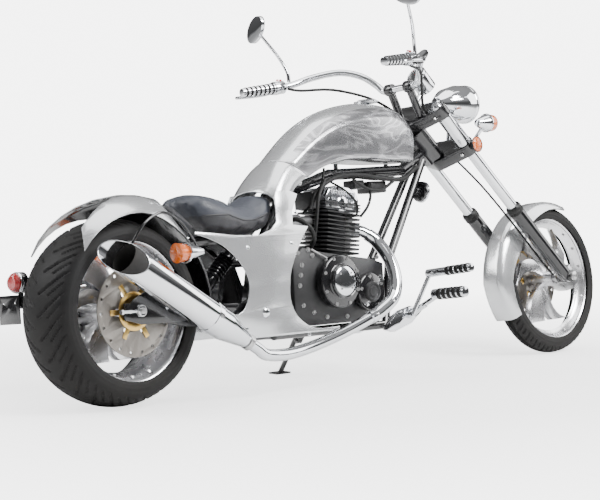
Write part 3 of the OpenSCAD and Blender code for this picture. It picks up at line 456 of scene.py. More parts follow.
# Flat outline of [x, z] points, thick from y0 to y1
def slab(bm, outline, y0, y1, bevel=0.0):
    face = bm.faces.new([bm.verts.new((x, y0, z)) for x, z in outline])
    made = bmesh.ops.extrude_face_region(bm, geom=[face])
    moved = [v for v in made["geom"] if isinstance(v, bmesh.types.BMVert)]
    bmesh.ops.translate(bm, verts=moved, vec=(0, y1 - y0, 0))
    if bevel:
        verts = set(moved) | set(face.verts if face.is_valid else [])
        edges = [e for e in bm.edges if all(v in verts for v in e.verts)]
        bmesh.ops.bevel(bm, geom=edges, offset=bevel, affect="EDGES", segments=2, profile=0.5, material=-1,
                        clamp_overlap=True)


# A CAD node's own shape with its edges rounded, so that they catch the light
def softened(nodeName, body, slotName, material, width=0.8, angle=30, sharp=40, segments=2):
    bm = bmesh.new()
    bm.from_mesh(frame["nodes"][nodeName].data)
    bmesh.ops.remove_doubles(bm, verts=bm.verts, dist=2e-5)
    bmesh.ops.dissolve_limit(bm, angle_limit=math.radians(0.6), verts=bm.verts, edges=bm.edges)
    softEdges(bm, width * 0.001, angle, segments)
    piece = finishPiece(nodeName + "_finished", bm, Matrix.Identity(4), body, slotName, material, sharp,
                        recalc=False)
    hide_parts(nodeName)
    return piece


def paint(nodeName, material):
    mesh = frame["nodes"][nodeName].data
    for i in range(max(1, len(mesh.materials))):
        if i < len(mesh.materials):
            mesh.materials[i] = material
        else:
            mesh.materials.append(material)


# Tyres
tyreSizes = {"crownTurn": 26, "grooveDepth": 5.0, "grooveWidth": 9.0}


def tyreProfile(radius, width, crown, lip, rimWidth):
    spin = math.radians(tyreSizes["crownTurn"])
    shoulder = (width / 2 - crown * math.sin(spin)) / (1 - math.sin(spin))
    sideY, sideR = width / 2 - shoulder, radius - crown + (crown - shoulder) * math.cos(spin)
    half = [(radius - crown + crown * math.cos(spin * k / 14),
             crown * math.sin(spin * k / 14)) for k in range(15)]
    for k in range(1, 17):
        a = spin + (math.radians(118) - spin) * k / 16
        rib = -1.2 if k in (9, 12) else 0
        half.append((sideR + (shoulder + rib) * math.cos(a), sideY + (shoulder + rib) * math.sin(a)))
    half += [(lip + 4, rimWidth / 2 + 5), (lip + 1, rimWidth / 2 + 1), (lip - 3, rimWidth / 2 - 7)]
    return [(r, -y) for r, y in reversed(half[1:])] + half


# Curved grooves that sweep from the middle to the shoulders, with a plain rib round the crown
def treadDepth(spin, y, radius, half, count, sweep, rib):
    side = 1 if y > 0 else -1
    across = abs(y) / half
    if across > 1.02:
        return 0.0
    pitch = 2 * math.pi * radius / count
    along = spin * radius + sweep * across ** 1.4 + (0 if side > 0 else pitch / 2)
    near = abs((along % pitch) - pitch / 2)
    wide = tyreSizes["grooveWidth"] / 2 * (1.15 - 0.5 * abs(across - 0.45))
    cut = min(1, max(0, (wide - near) / 2.2 + 0.5)) if rib < across < 0.97 else 0.0
    second = abs(((along + pitch * 0.52) % pitch) - pitch / 2)
    cut = max(cut, min(1, max(0, (wide * 0.7 - second) / 2.2 + 0.5)) if 0.5 < across < 0.9 else 0.0)
    return tyreSizes["grooveDepth"] * cut * min(1, (1.02 - across) * 8)


def makeTyre(nodeName, hub, body, radius, width, crown, lip, rimWidth, steps, count, sweep, rib, middle):
    bm = bmesh.new()
    turned(bm, tyreProfile(radius, width, crown, lip, rimWidth), steps, Matrix.Rotation(math.pi / 2, 4, "X"))
    half = width * 0.46
    for v in bm.verts:
        r = math.hypot(v.co.x, v.co.z)
        if r < radius - crown * 0.25 - 8 or abs(v.co.y) > half:
            continue
        around = math.atan2(v.co.z, v.co.x)
        depth = treadDepth(around, v.co.y, radius, half, count, sweep, rib)
        if middle and abs(abs(v.co.y) - middle) < 3.0:
            depth = tyreSizes["grooveDepth"]
        v.co.x -= depth * math.cos(around)
        v.co.z -= depth * math.sin(around)
    piece = finishPiece(nodeName + "_treaded", bm, hub, body, "tyre", tyreRubber, 28)
    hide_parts(nodeName)
    return piece


makeTyre("rear_tyre", rearHub, "rear_wheel", 299.6, 231.4, 210, 230, 192, 560, 26, 92, 0.07, 0)
makeTyre("front_tyre", frontHub, "front_wheel", 290.6, 93.4, 58, 243, 66, 480, 34, 26, 0.1, 4.5)
print("tyres made")

# Wheels
for nodeName, body, slotName, material, width, segments in (
        ("rear_rim", "rear_wheel", "wheel_alloy", wheelAlloy, 2.2, 3),
        ("front_rim", "front_wheel", "wheel_alloy", wheelAlloy, 1.8, 3),
        ("rear_disc", "rear_wheel", "steel", discSteel, 0.5, 2),
        ("front_disc", "front_wheel", "steel", discSteel, 0.5, 2),
        ("rear_sprocket", "rear_wheel", "steel", steel, 0.4, 2)):
    softened(nodeName, body, slotName, material, width=width, segments=segments)
wheelTrim = {"boltRadius": 6.5, "valveLength": 34, "valveTurn": 205, "rimScrews": 18, "screwRadius": 4.5,
             "screwHeight": 4}


def hubTrim(name, hub, body, side, carrierOuter, carrierInner, y, bolts, material, slotName, arm,
            rise=7.5, head=6.0):
    bm = bmesh.new()
    face = Matrix.Rotation(-side * math.pi / 2, 4, "X")
    turned(bm, [(carrierInner, 0), (carrierInner, rise - 2.5), (carrierInner + 6, rise),
                (carrierOuter - 5, rise),
                (carrierOuter, rise - 2.5), (carrierOuter, 0)], 48, Matrix.Translation((0, y * side, 0)) @ face)
    for k in range(bolts):
        a = 2 * math.pi * k / bolts
        r = (carrierOuter + carrierInner) / 2
        screw(bm, (r * math.cos(a), side * (y + rise - 0.5), r * math.sin(a)), (0, side, 0),
              wheelTrim["boltRadius"], head, True)
        spin = Matrix.Rotation(-a, 4, "Y")
        low, high = sorted((side * y, side * (y + rise - 2.5)))
        block(bm, (carrierOuter - 3, low, -arm / 2), (carrierOuter + arm * 2, high, arm / 2), 1.5, spin)
    return finishPiece(name, bm, hub, body, slotName, material)


hubTrim("rear_disc_carrier", rearHub, "rear_wheel", -1, 62, 33, 111.5, 6, gold, "brass_caliper", 17,
        rise=4.5, head=1.8)
hubTrim("front_disc_carrier", frontHub, "front_wheel", 1, 52, 26, 63.5, 6, gold, "brass_caliper", 12)
hubTrim("sprocket_carrier", rearHub, "rear_wheel", 1, 60, 41, 136.5, 6, castAlloy, "wheel_alloy", 5)
for wheelName, hub, body, lip, rimWidth in (("rear", rearHub, "rear_wheel", 230, 192),
                                            ("front", frontHub, "front_wheel", 243, 66)):
    bm = bmesh.new()
    seat = lip - 14
    a = math.radians(wheelTrim["valveTurn"])
    start = Vector(((seat - 18) * math.cos(a), -rimWidth * 0.12, (seat - 18) * math.sin(a)))
    way = Vector((-math.cos(a), 0, -math.sin(a)))
    turned(bm, [(0, wheelTrim["valveLength"]), (3, wheelTrim["valveLength"]), (4.2, 30), (4.2, 18), (3, 17),
                (3, 4),
                (5.5, 3), (5.5, -4)], 12, pointing(start, start + way))
    finishPiece(wheelName + "_valve", bm, hub, body, "black_rubber", blackRubber)
    # Small countersunk screws round the joint of centre and rim
    bm = bmesh.new()
    for k in range(wheelTrim["rimScrews"]):
        a = 2 * math.pi * (k + 0.5) / wheelTrim["rimScrews"]
        if (k // 3) % 2 == 0:
            spot = ((seat - 9) * math.cos(a), -rimWidth / 2 + 18, (seat - 9) * math.sin(a))
            screw(bm, spot, (-0.35 * math.cos(a), -1, -0.35 * math.sin(a)), wheelTrim["screwRadius"],
                  wheelTrim["screwHeight"], True)
    finishPiece(wheelName + "_rim_screws", bm, hub, body, "steel", steel)
print("wheels made")


# Tank and body
# Rings of a loaf-shaped section between a low and a top line, given one side's outline
def loafRings(low, top, half, side, per, inset=0.0):
    low, top = (smoothPath([(x, 0, z) for x, z in pts], per) for pts in (low, top))
    half = smoothPath([(h, 0, 0) for h in half], per)
    rings = []
    for a, b, h in zip(low, top, half):
        up = b - a
        trim = inset / max(up.length, 1)
        trimmed = [(w, trim + s * (1 - 2 * trim)) for w, s in side]
        ring = [a + up * s + Vector((0, (h.x - inset) * w, 0)) for w, s in trimmed]
        rings.append(ring + [Vector((p.x, -p.y, p.z)) for p in ring[::-1] if abs(p.y) > 1e-6])
    return rings


def bridgeRings(bm, rings, rim=9.0):
    made = [[bm.verts.new(p) for p in ring] for ring in rings]
    for ring in made:
        for k in range(len(ring)):
            bm.edges.new((ring[k], ring[(k + 1) % len(ring)]))
    ends = joinRings(bm, made)
    if rim:
        bmesh.ops.inset_individual(bm, faces=ends, thickness=rim, depth=0.0)
    return made


def creaseLoops(bm, rings, columns, amount):
    layer = bm.edges.layers.float.get("crease_edge") or bm.edges.layers.float.new("crease_edge")
    for a, b in zip(rings, rings[1:]):
        for c in columns:
            for k in (c, len(a) - 1 - c):
                edge = bm.edges.get((a[k], b[k]))
                if edge:
                    edge[layer] = amount
    for ring in (rings[0], rings[-1]):
        for k in range(len(ring)):
            edge = bm.edges.get((ring[k], ring[(k + 1) % len(ring)]))
            if edge:
                edge[layer] = 0.75


def subdivided(piece, levels=2):
    smooth = piece.modifiers.new("smooth", "SUBSURF")
    smooth.levels = smooth.render_levels = levels
    return piece


tank = {"low": [(845, 708), (921, 742), (1022, 762), (1124, 762), (1230, 757), (1320, 757), (1388, 757)],
        "top": [(728, 775), (870, 887), (1003, 950), (1158, 978), (1300, 967), (1368, 940), (1400, 905)],
        "half": [92, 104, 114, 118, 112, 98, 80],
        "side": [(0.8, 0), (0.94, 0.06), (0.985, 0.3), (1.0, 0.52), (0.97, 0.7), (0.86, 0.8), (0.72, 0.885),
                 (0.48, 0.955),
                 (0.24, 0.99), (0, 1)]}
bm = bmesh.new()
rings = bridgeRings(bm, loafRings(tank["low"], tank["top"], tank["half"], tank["side"], 3, inset=0.6))
creaseLoops(bm, rings, (1,), 0.55)
creaseLoops(bm, rings, (4,), 0.4)
tankPiece = subdivided(finishPiece("fuel_tank_shell", bm, bike, "chassis", "silver_paint", silverPaint, 60))
# Faces that look sideways get the darker paint as painted shade on the tank's flanks; the top stays the lighter
# silver
tankPiece.data.materials.append(shadedFlamePaint)
unBike = bike.inverted()
for face in tankPiece.data.polygons:
    way, spot = (unBike.to_3x3() @ face.normal).normalized(), unBike @ face.center
    face.material_index = 1 if abs(way.y) > 0.62 and spot.x > 800 else 0
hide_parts("fuel_tank")

# Filler cap with a knurled rim
cap = {"at": (1240, 0, 978.2), "radius": 43, "height": 15, "ribs": 36}
bm = bmesh.new()
capPlace = Matrix.Translation(cap["at"])
turned(bm, [(0, cap["height"]), (14, cap["height"]), (26, cap["height"] - 1.2), (32, cap["height"] - 3.5),
            (35, 9.5),
            (39, 8), (cap["radius"], 7), (cap["radius"] + 0.6, 4), (cap["radius"] - 1, 0)], 72, capPlace)
for k in range(cap["ribs"]):
    a = 2 * math.pi * k / cap["ribs"]
    block(bm, (38.5, -1.3, 2), (cap["radius"] + 0.9, 1.3, 7.8), 0.5, capPlace @ Matrix.Rotation(a, 4, "Z"))
capPiece = finishPiece("fuel_cap_turned", bm, bike, "chassis", "chrome", chrome, 35)
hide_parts("fuel_cap")

for nodeName, width in (("body_neck", 1.2), ("body_panel_right", 1.4), ("body_panel_left", 1.4)):
    softened(nodeName, "chassis", "silver_paint", silverPaint, width=width, angle=38, sharp=50)
# Mudguards are silver outside; their inner faces get black paint as painted shade on the undersides
for nodeName, body, placing in (("rear_fender", "chassis", rearHub), ("front_fender", "fork", frontHub)):
    fender = softened(nodeName, body, "silver_paint", silverPaint, width=1.0, angle=38, sharp=40)
    fender.data.materials.append(blackPaint)
    inward = placing.inverted()
    for face in fender.data.polygons:
        spot, way = inward @ face.center, (inward.to_3x3() @ face.normal).normalized()
        out = Vector((spot.x, spot.y * 0.8, spot.z)).normalized()
        face.material_index = 1 if way.dot(out) < -0.15 else 0

# Outline of the side panels' outer face, half width at each height
panelLine = [(160, 180), (162, 260), (162, 350), (153, 440), (138, 520), (124, 600), (117, 660),
             (112, 700)]


def panelY(z):
    for (y0, z0), (y1, z1) in zip(panelLine, panelLine[1:]):
        if z <= z1 or (y1, z1) == panelLine[-1]:
            return y0 + (y1 - y0) * (z - z0) / (z1 - z0)


bodyScrews = {"spots": [(472, 479), (676, 486), (430, 212), (712, 174), (722, 590)], "radius": 7}
bm = bmesh.new()
for x, z in bodyScrews["spots"]:
    for side in (-1, 1):
        y = panelY(z)
        lean = (panelY(z + 20) - panelY(z - 20)) / 40
        screw(bm, (x, side * (y - 0.2), z), (0, side, -lean), bodyScrews["radius"], 3.2)
finishPiece("body_screws", bm, bike, "chassis", "chrome", chrome)
print("body made")

# Saddle and pillion strip
saddle = {"low": [(345, 545), (372, 540), (430, 531), (534, 529), (585, 538), (612, 544), (640, 571)],
          "top": [(288, 658), (330, 674), (409, 650), (494, 614), (563, 624), (625, 662), (668, 668)],
          "half": [104, 126, 138, 132, 118, 110, 88],
          "side": [(0.84, 0), (0.95, 0.08), (1, 0.35), (0.97, 0.62), (0.84, 0.84), (0.58, 0.95), (0.28, 0.985),
                   (0, 0.99)],
          "inset": 7.0, "cap": 0.011, "voxel": 0.0055, "pressure": 4.0}


padding = {"quality": 4, "mass": 0.3, "stiffness": 12, "frames": 20, "smoothings": 3}


# Padding by cloth under pressure, each point held within a short way of where it began
def padOut(piece, voxel, pressure, limit):
    bpy.context.view_layer.objects.active = piece
    remesh = piece.modifiers.new("remesh", "REMESH")
    remesh.mode, remesh.voxel_size, remesh.use_smooth_shade = "VOXEL", voxel, True
    applyAll(piece)
    start = [v.co.copy() for v in piece.data.vertices]
    cloth = piece.modifiers.new("cloth", "CLOTH")
    cloth.settings.quality = padding["quality"]
    cloth.settings.mass = padding["mass"]
    cloth.settings.tension_stiffness = cloth.settings.compression_stiffness = padding["stiffness"]
    cloth.settings.use_pressure = True
    cloth.settings.uniform_pressure_force = pressure
    cloth.settings.effector_weights.gravity = 0
    cloth.point_cache.frame_start, cloth.point_cache.frame_end = 1, padding["frames"]
    for step in range(1, padding["frames"] + 1):
        bpy.context.scene.frame_set(step)
    applyAll(piece)
    bpy.context.scene.frame_set(1)
    for v, home in zip(piece.data.vertices, start):
        moved = v.co - home
        if moved.length > limit:
            v.co = home + moved.normalized() * limit
    bm = bmesh.new()
    bm.from_mesh(piece.data)
    for _ in range(padding["smoothings"]):
        bmesh.ops.smooth_vert(bm, verts=bm.verts, factor=0.5, use_axis_x=True, use_axis_y=True, use_axis_z=True)
    bm.to_mesh(piece.data)
    bm.free()
    return piece


def applyAll(piece):
    shown = piece.evaluated_get(bpy.context.evaluated_depsgraph_get())
    mesh = bpy.data.meshes.new_from_object(shown)
    for m in piece.data.materials:
        if m.name not in mesh.materials:
            mesh.materials.append(m)
    piece.modifiers.clear()
    piece.data = mesh


def rawPiece(name, bm, placing, materials):
    bmesh.ops.recalc_face_normals(bm, faces=bm.faces)
    bm.transform(placing)
    mesh = bpy.data.meshes.new(name)
    bm.to_mesh(mesh)
    bm.free()
    for m in materials:
        mesh.materials.append(m)
    piece = bpy.data.objects.new(name, mesh)
    bpy.context.collection.objects.link(piece)
    return piece


bm = bmesh.new()
bridgeRings(bm, loafRings(saddle["low"], saddle["top"], saddle["half"], saddle["side"], 3,
                          inset=saddle["inset"]))
seat = padOut(rawPiece("saddle", bm, bike, [saddleLeather, blackLeather]), saddle["voxel"], saddle["pressure"],
              saddle["cap"])
toBike = bike.inverted()


def skirtLine(x):
    return 592 if x < 420 else 592 - 22 * math.sin(math.pi * min(1, (x - 420) / 200))


# The top is blue-grey hide and the skirt below the piping is black
for face in seat.data.polygons:
    spot = toBike @ face.center
    face.material_index = 1 if spot.z < skirtLine(spot.x) or spot.z < 560 else 0
    face.use_smooth = True
subdivided(seat, 1)
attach(seat, "chassis")

# Seat surface point met from a point outside, in bike axes
def onSurface(piece):
    bm = bmesh.new()
    bm.from_mesh(piece.data)
    bm.transform(toBike)
    tree = BVHTree.FromBMesh(bm)
    bm.free()

    def hit(a, b):
        a, b = Vector(a), Vector(b)
        found = tree.ray_cast(a, (b - a).normalized())
        return (found[0], found[1]) if found[0] is not None else (b, (a - b).normalized())
    return hit


meet = onSurface(seat)


# Row of short stitches along a line of surface points
def stitches(bm, line, gap, length, radius):
    run = 0.0
    for a, b in zip(line, line[1:]):
        run += (b[0] - a[0]).length
        if run >= gap:
            run = 0.0
            way = (b[0] - a[0]).normalized()
            middle = b[0] + b[1] * radius * 0.5
            sweptTube(bm, [middle - way * length / 2, middle - way * length / 4 + b[1] * radius * 0.4,
                            middle + way * length / 4 + b[1] * radius * 0.4, middle + way * length / 2], radius,
                      6)


# Piping between hide and skirt, and a double seam across the saddle's waist
bm = bmesh.new()
for side in (-1, 1):
    line = []
    for k in range(61):
        x = 327 + 312 * k / 60
        line.append(meet((x, side * 260, skirtLine(x)), (x, 0, skirtLine(x)))[0])
    sweptTube(bm, line, 3.2, 10)
finishPiece("saddle_piping", bm, bike, "chassis", "seat_leather", blackLeather, 60)
bm = bmesh.new()
for offset in (-6, 6):
    for side in (-1, 1):
        line = []
        for k in range(70):
            a = math.pi / 2 * k / 69 * 0.86
            x = 420 + offset + 16 * math.sin(a) ** 2
            out = Vector((x, side * 260 * math.sin(a), 600 + 260 * math.cos(a)))
            line.append(meet(out, (x, 0, 590)))
        stitches(bm, line, 8.5, 5.5, 0.9)
finishPiece("saddle_stitching", bm, bike, "chassis", "seat_leather", saddleLeather, 60)

# Pillion strip draped over the mudguard, stuffed the same way
pillion = {"from": 44.5, "to": 57.5, "step": 3.25, "share": 0.88, "gap": 2.2, "thick": 8.5, "slope": 1.05,
           "cap": 0.004, "voxel": 0.004}
mudguard = {"radius": 300, "half": 125, "rise": 26, "slope": 2.45, "edge": 20}


# Line across the mudguard at an angle round the axle, moved outwards
def fenderRing(a, outwards):
    crown = mudguard["radius"] + mudguard["rise"] + (a - 30) * mudguard["slope"]
    edge = mudguard["radius"] + mudguard["edge"] - (a - 30) * 0.1
    spin, ring = math.radians(a), []
    for k in range(-6, 7):
        t = pillion["share"] * k / 6
        r = edge + (crown - edge) * (1 - abs(t) ** 2.2) ** 0.8 + outwards
        ring.append(Vector((r * math.cos(spin), t * (mudguard["half"] + outwards), r * math.sin(spin))))
    return ring


bm = bmesh.new()
rings, a = [], pillion["from"]
while a <= pillion["to"]:
    far = pillion["gap"] + pillion["thick"] + (pillion["to"] - a) * pillion["slope"]
    rings.append(fenderRing(a, far) + fenderRing(a, pillion["gap"])[::-1])
    a += pillion["step"]
bridgeRings(bm, rings, rim=0)
pad = padOut(rawPiece("pillion_strip", bm, rearHub, [blackLeather]), pillion["voxel"], 4.0, pillion["cap"])
for face in pad.data.polygons:
    face.use_smooth = True
subdivided(pad, 1)
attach(pad, "chassis")
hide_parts("seat")
print("seat made")

# Engine and exhaust
finished = [("crankcase", "chassis", "engine_black", engineBlack, 3.0), ("cylinder", "chassis", "engine_black",
                                                                         engineBlack, 0.7),
            ("head_cover", "chassis", "chrome", chrome, 4.0), ("engine_covers", "chassis", "chrome", blackPaint,
                                                               6.0),
            ("carburettor", "chassis", "cast_alloy", castAlloy, 1.5), ("exhaust_header", "chassis", "chrome",
                                                                       chrome, 0.0),
            ("muffler", "chassis", "chrome", chrome, 0.8), ("foot_controls", "chassis", "chrome", chrome, 0.6),
            ("plate_bracket", "chassis", "black_paint", blackPaint, 0.6), ("rear_axle", "chassis", "steel",
                                                                           steel, 0.8),
            ("rear_caliper", "chassis", "cast_alloy", castAlloy, 2.0), ("swingarm", "chassis", "black_paint",
                                                                        blackPaint, 1.2),
            ("rear_shock", "chassis", "black_paint", blackPaint, 0.6), ("frame", "chassis", "black_paint",
                                                                        blackPaint, 0.0),
            ("tail_lamp", "chassis", "red_lens", redLens, 1.2), ("fork_tubes", "fork", "steel", chrome, 0.5),
            ("fork_sliders", "fork", "black_paint", blackPaint, 1.0), ("fork_clamps", "fork", "black_paint",
                                                                       blackPaint, 1.2),
            ("handlebar", "fork", "chrome", chrome, 0.0), ("hand_controls", "fork", "chrome", chrome, 0.8),
            ("gauge", "fork", "chrome", chrome, 1.5), ("headlight", "fork", "chrome", chrome, 1.5),
            ("front_caliper", "fork", "brass_caliper", gold, 2.0), ("front_axle", "fork", "steel", steel, 0.8),
            ("cables", "fork", "black_rubber", blackRubber, 0.0), ("side_stand", "side_stand", "steel",
                                                                   blackPaint, 0.6)]
for nodeName, body, slotName, material, width in finished:
    softened(nodeName, body, slotName, material, width=width, angle=36, sharp=42)


# Slot and finish of the surfaces that come back most often
chromed, steely, rubbery = ("chrome", chrome), ("steel", steel), ("black_rubber", blackRubber)
painted, cased = ("black_paint", blackPaint), ("engine_black", engineBlack)
orangey, moulded = ("orange_lens", orangeLens), ("black_rubber", blackPlastic)


# Piece of bolts, each at a point and facing along a direction
def boltPiece(name, spots, facing, radius, height, placing, body, slotName, material, hexagon=True):
    bm = bmesh.new()
    for spot in spots:
        screw(bm, spot, facing, radius, height, hexagon)
    return finishPiece(name, bm, placing, body, slotName, material)


# Piece turned about an axis from one point towards another
def turnedPiece(name, profile, p, q, placing, body, slotName, material, steps=64, sharp=35):
    bm = bmesh.new()
    turned(bm, profile, steps, pointing(Vector(p), Vector(q)))
    return finishPiece(name, bm, placing, body, slotName, material, sharp)


def tubePiece(name, points, radius, placing, body, slotName, material, sides=20, per=8):
    bm = bmesh.new()
    sweptTube(bm, smoothPath(points, per), radius, sides)
    return finishPiece(name, bm, placing, body, slotName, material, 50)


engine = {"disc": (907, -158.2, 345), "cap": (1060, -134.2, 300),
          "caseBolts": [(742, 452), (793, 461), (812, 441), (758, 410), (750, 376), (742, 340), (752, 272),
                        (800, 246),
                        (862, 226), (960, 222), (1120, 232), (1140, 350), (1130, 420)],
          "coverBolts": 8}
turnedPiece("clutch_disc", [(0, 6.5), (20, 6.2), (36, 4.8), (46, 2.6), (50, 0.8), (51, 0)], engine["disc"],
            (907, -200, 345), bike, "chassis", *chromed)
x, y, z = engine["disc"]
boltPiece("clutch_disc_screws", [(x + 36 * math.cos(a), y - 4.4,
                                  z + 36 * math.sin(a)) for a in (0.8, 2.35, 3.95, 5.5)],
          (0, -1, 0), 4, 2.2, bike, "chassis", *steely)
turnedPiece("clutch_bezel", [(55.5, -6), (58.5, -6), (60.5, -3), (59, 0.6), (56, 1.6), (54, 0.4)],
            engine["disc"],
            (907, -200, 345), bike, "chassis", *painted)
boltPiece("cover_bolts", [(907 + 83 * math.cos(a), -140.2, 345 + 83 * math.sin(a))
                          for a in [2 * math.pi * (k + 0.5) / engine["coverBolts"]
                           for k in range(engine["coverBolts"])]],
          (0, -1, 0), 5.5, 4.5, bike, "chassis", *steely)
boltPiece("case_bolts", [(x, -100.2, z) for x, z in engine["caseBolts"]], (0, -1, 0), 7, 6, bike, "chassis",
          *steely)
turnedPiece("timing_cap", [(0, 8), (18, 8), (20, 6), (26, 6), (28, 8.5), (33, 8.5), (36, 5), (37, 0)],
            engine["cap"],
            (1060, -200, 300), bike, "chassis", *cased)
boltPiece("timing_bolts", [(1060 + 54 * math.cos(a), -134.2,
                            300 + 54 * math.sin(a)) for a in (0.5, 1.7, 2.9, 4.1, 5.3)],
          (0, -1, 0), 5.5, 4.5, bike, "chassis", *steely)
turnedPiece("left_cover_dome", [(0, 12), (30, 11), (52, 8), (64, 4), (70, 0)], (1010, 145.2, 315),
            (1010, 200, 315), bike,
            "chassis", *cased)
boltPiece("left_cover_bolts", [(1010 + 79 * math.cos(a), 145.2, 315 + 79 * math.sin(a)) for a in
                               [2 * math.pi * k / 7 for k in range(7)]], (0, 1, 0), 5.5, 4.5, bike, "chassis",
          *steely)

# Chrome rocker cover bolts, spark plug and its lead, all in the cylinder's own axes
onCylinder = bike @ Matrix.Translation((985, 0, 424)) @ Matrix.Rotation(math.radians(8), 4, "Y")
boltPiece("rocker_bolts", [(px, py, 214.6) for px in (-73, 73) for py in (-48, 48)], (0, 0, 1), 6, 6,
          onCylinder,
          "chassis", *steely)
boltPiece("head_bolts", [(px, -66.2, pz) for px in (-62, 62) for pz in (182, 202)], (0, -1, 0), 7, 6,
          onCylinder,
          "chassis", *chromed)
bm = bmesh.new()
for k in range(3):
    block(bm, (-88, -72, 171 + 11 * k), (88, 72, 176 + 11 * k), 1.2)
finishPiece("head_fins", bm, onCylinder, "chassis", *cased)
bm = bmesh.new()
for k in range(15):
    for side in (-1, 1):
        block(bm, (-58 + 8.3 * k - 1.6, side * 67 - 2, 203), (-58 + 8.3 * k + 1.6, side * 67 + 2, 238), 0.8)
finishPiece("head_ribs", bm, onCylinder, "chassis", *chromed)
turnedPiece("rocker_plate", [(0, 5), (18, 4.6), (26, 3), (29, 0)], (0, -66.2, 192), (0, -100, 192), onCylinder,
            "chassis",
            *chromed)
tubePiece("plug_lead", [(30, -70, 150), (44, -96, 160), (30, -104, 200), (-10, -84, 240), (-40, -40, 270)], 4,
          onCylinder,
          "chassis", *rubbery, 12)
turnedPiece("plug_cap", [(0, 0), (9, 0), (9, 16), (6, 22), (6, 30), (0, 30)], (26, -60, 146), (44, -96, 160),
            onCylinder,
            "chassis", *rubbery, 20)

# Hoses and the linkage between the carburettor and the case
tubePiece("breather_hose", [(840, -70, 470.5), (836, -92, 500), (812, -96, 540), (786, -70, 566),
                            (770, -46, 566)], 8, bike,
          "chassis", *rubbery)
tubePiece("fuel_hose", [(860, -20, 590), (872, -60, 620), (900, -70, 660), (930, -60, 700), (950, -50, 742)],
          4.5, bike,
          "chassis", *rubbery, 12)
tubePiece("choke_rod", [(806, -104, 462), (842, -108, 442), (872, -110, 428)], 3, bike, "chassis", *steely, 12)

# Wiring, coil and tray between the backbone and the head
for k, (points, radius) in enumerate((
        ([(1452, -30, 742), (1360, -42, 700), (1240, -52, 702), (1120, -50, 716), (1000, -48, 708),
          (900, -56, 660),
          (860, -60, 600)], 9),
        ([(1440, 26, 735), (1330, 44, 712), (1200, 50, 722), (1050, 46, 730), (930, 50, 690)], 11),
        ([(1300, -48, 690), (1220, -60, 660), (1140, -64, 668), (1080, -62, 700)], 6),
        ([(1190, -30, 690), (1150, -74, 640), (1120, -84, 600), (1090, -74, 566)], 5),
        ([(930, -70, 700), (880, -84, 640), (860, -86, 560), (850, -80, 500)], 6))):
    tubePiece("loom_%d" % (k + 1), points, radius, bike, "chassis", *rubbery, 14)
bm = bmesh.new()
block(bm, (1196, -38, 652), (1276, 38, 694), 5)
block(bm, (1120, -30, 668), (1170, 30, 700), 4)
block(bm, (886, -46, 604), (934, 46, 664), 5)
finishPiece("coil_and_tray", bm, bike, "chassis", *moulded)

# Heat shield over the header, with its two clamps' screws
shieldLine = [(1150, -46, 503), (1174, -66, 474), (1181, -112, 412), (1168, -148, 340), (1135, -162, 275),
              (1054, -168, 229), (1000, -169, 211)]
tubePiece("header_shield", shieldLine, 23.4, bike, "chassis", *chromed, 36, 12)
boltPiece("shield_screws", [(1020, -193, 222), (1112, -187, 262)], (0, -1, 0.3), 5, 3, bike, "chassis", *steely,
          False)

# Muffler seam, its clamp, and the dark inside of the mouth: a near-black lining and end plate, soot with
# painted shade deep in the pipe
pipe = {"from": Vector((404, -200, 165.5)), "to": Vector((-98, -200, 470)), "band": 189}
pipeWay = (pipe["to"] - pipe["from"]).normalized()
onPipe = bike @ pointing(pipe["from"], pipe["to"], Vector((0, 1, 0)))
for name, profile, material, slotName in (
        ("muffler_band", [(52.2, 178), (54, 180), (54, 198), (52.2, 200)], chrome, "chrome"),
        ("muffler_clamp", [(24.5, 2), (27, 4), (27, 20), (24.5, 22)], steel, "steel"),
        ("muffler_lining", [(0, 306), (48.9, 306), (48.9, 584)], sootAndShadeBlack, "chrome")):
    bm = bmesh.new()
    turned(bm, profile, 72, Matrix.Identity(4))
    finishPiece(name, bm, onPipe, "chassis", slotName, material, recalc=name != "muffler_lining")
boltPiece("muffler_bolts", [pipe["from"] + pipeWay * pipe["band"] + Vector((0, -54, 0))], (0, -1, 0), 5.5, 4,
          bike,
          "chassis", *steely)
print("engine made")

# Fork, lamps and controls
steered = fork @ Matrix.Rotation(rake, 4, "Y") @ Matrix.Translation(-headPlace)


# CAD node in two materials: the second covers the faces that pass a test, in a frame's own axes
def twoTone(nodeName, body, slotName, first, second, placing, test, width=0.8, sharp=42):
    piece = softened(nodeName, body, slotName, first, width=width, angle=36, sharp=sharp)
    piece.data.materials.append(second)
    inward = placing.inverted()
    for face in piece.data.polygons:
        if test(inward @ face.center, (inward.to_3x3() @ face.normal).normalized()):
            face.material_index = 1
    return piece


twoTone("front_signals", "fork", "orange_lens", chrome, orangeLens, steered, lambda p,
        n: p.x > 1700.5 and abs(p.y) > 135)
twoTone("rear_signals", "chassis", "orange_lens", chrome, orangeLens, rearHub, lambda p,
        n: p.x < 149.5 and abs(p.y) > 168)
twoTone("mirrors", "fork", *chromed, mirrorGlass, steered, lambda p, n: n.x < -0.5 and p.z > 1240, sharp=30)

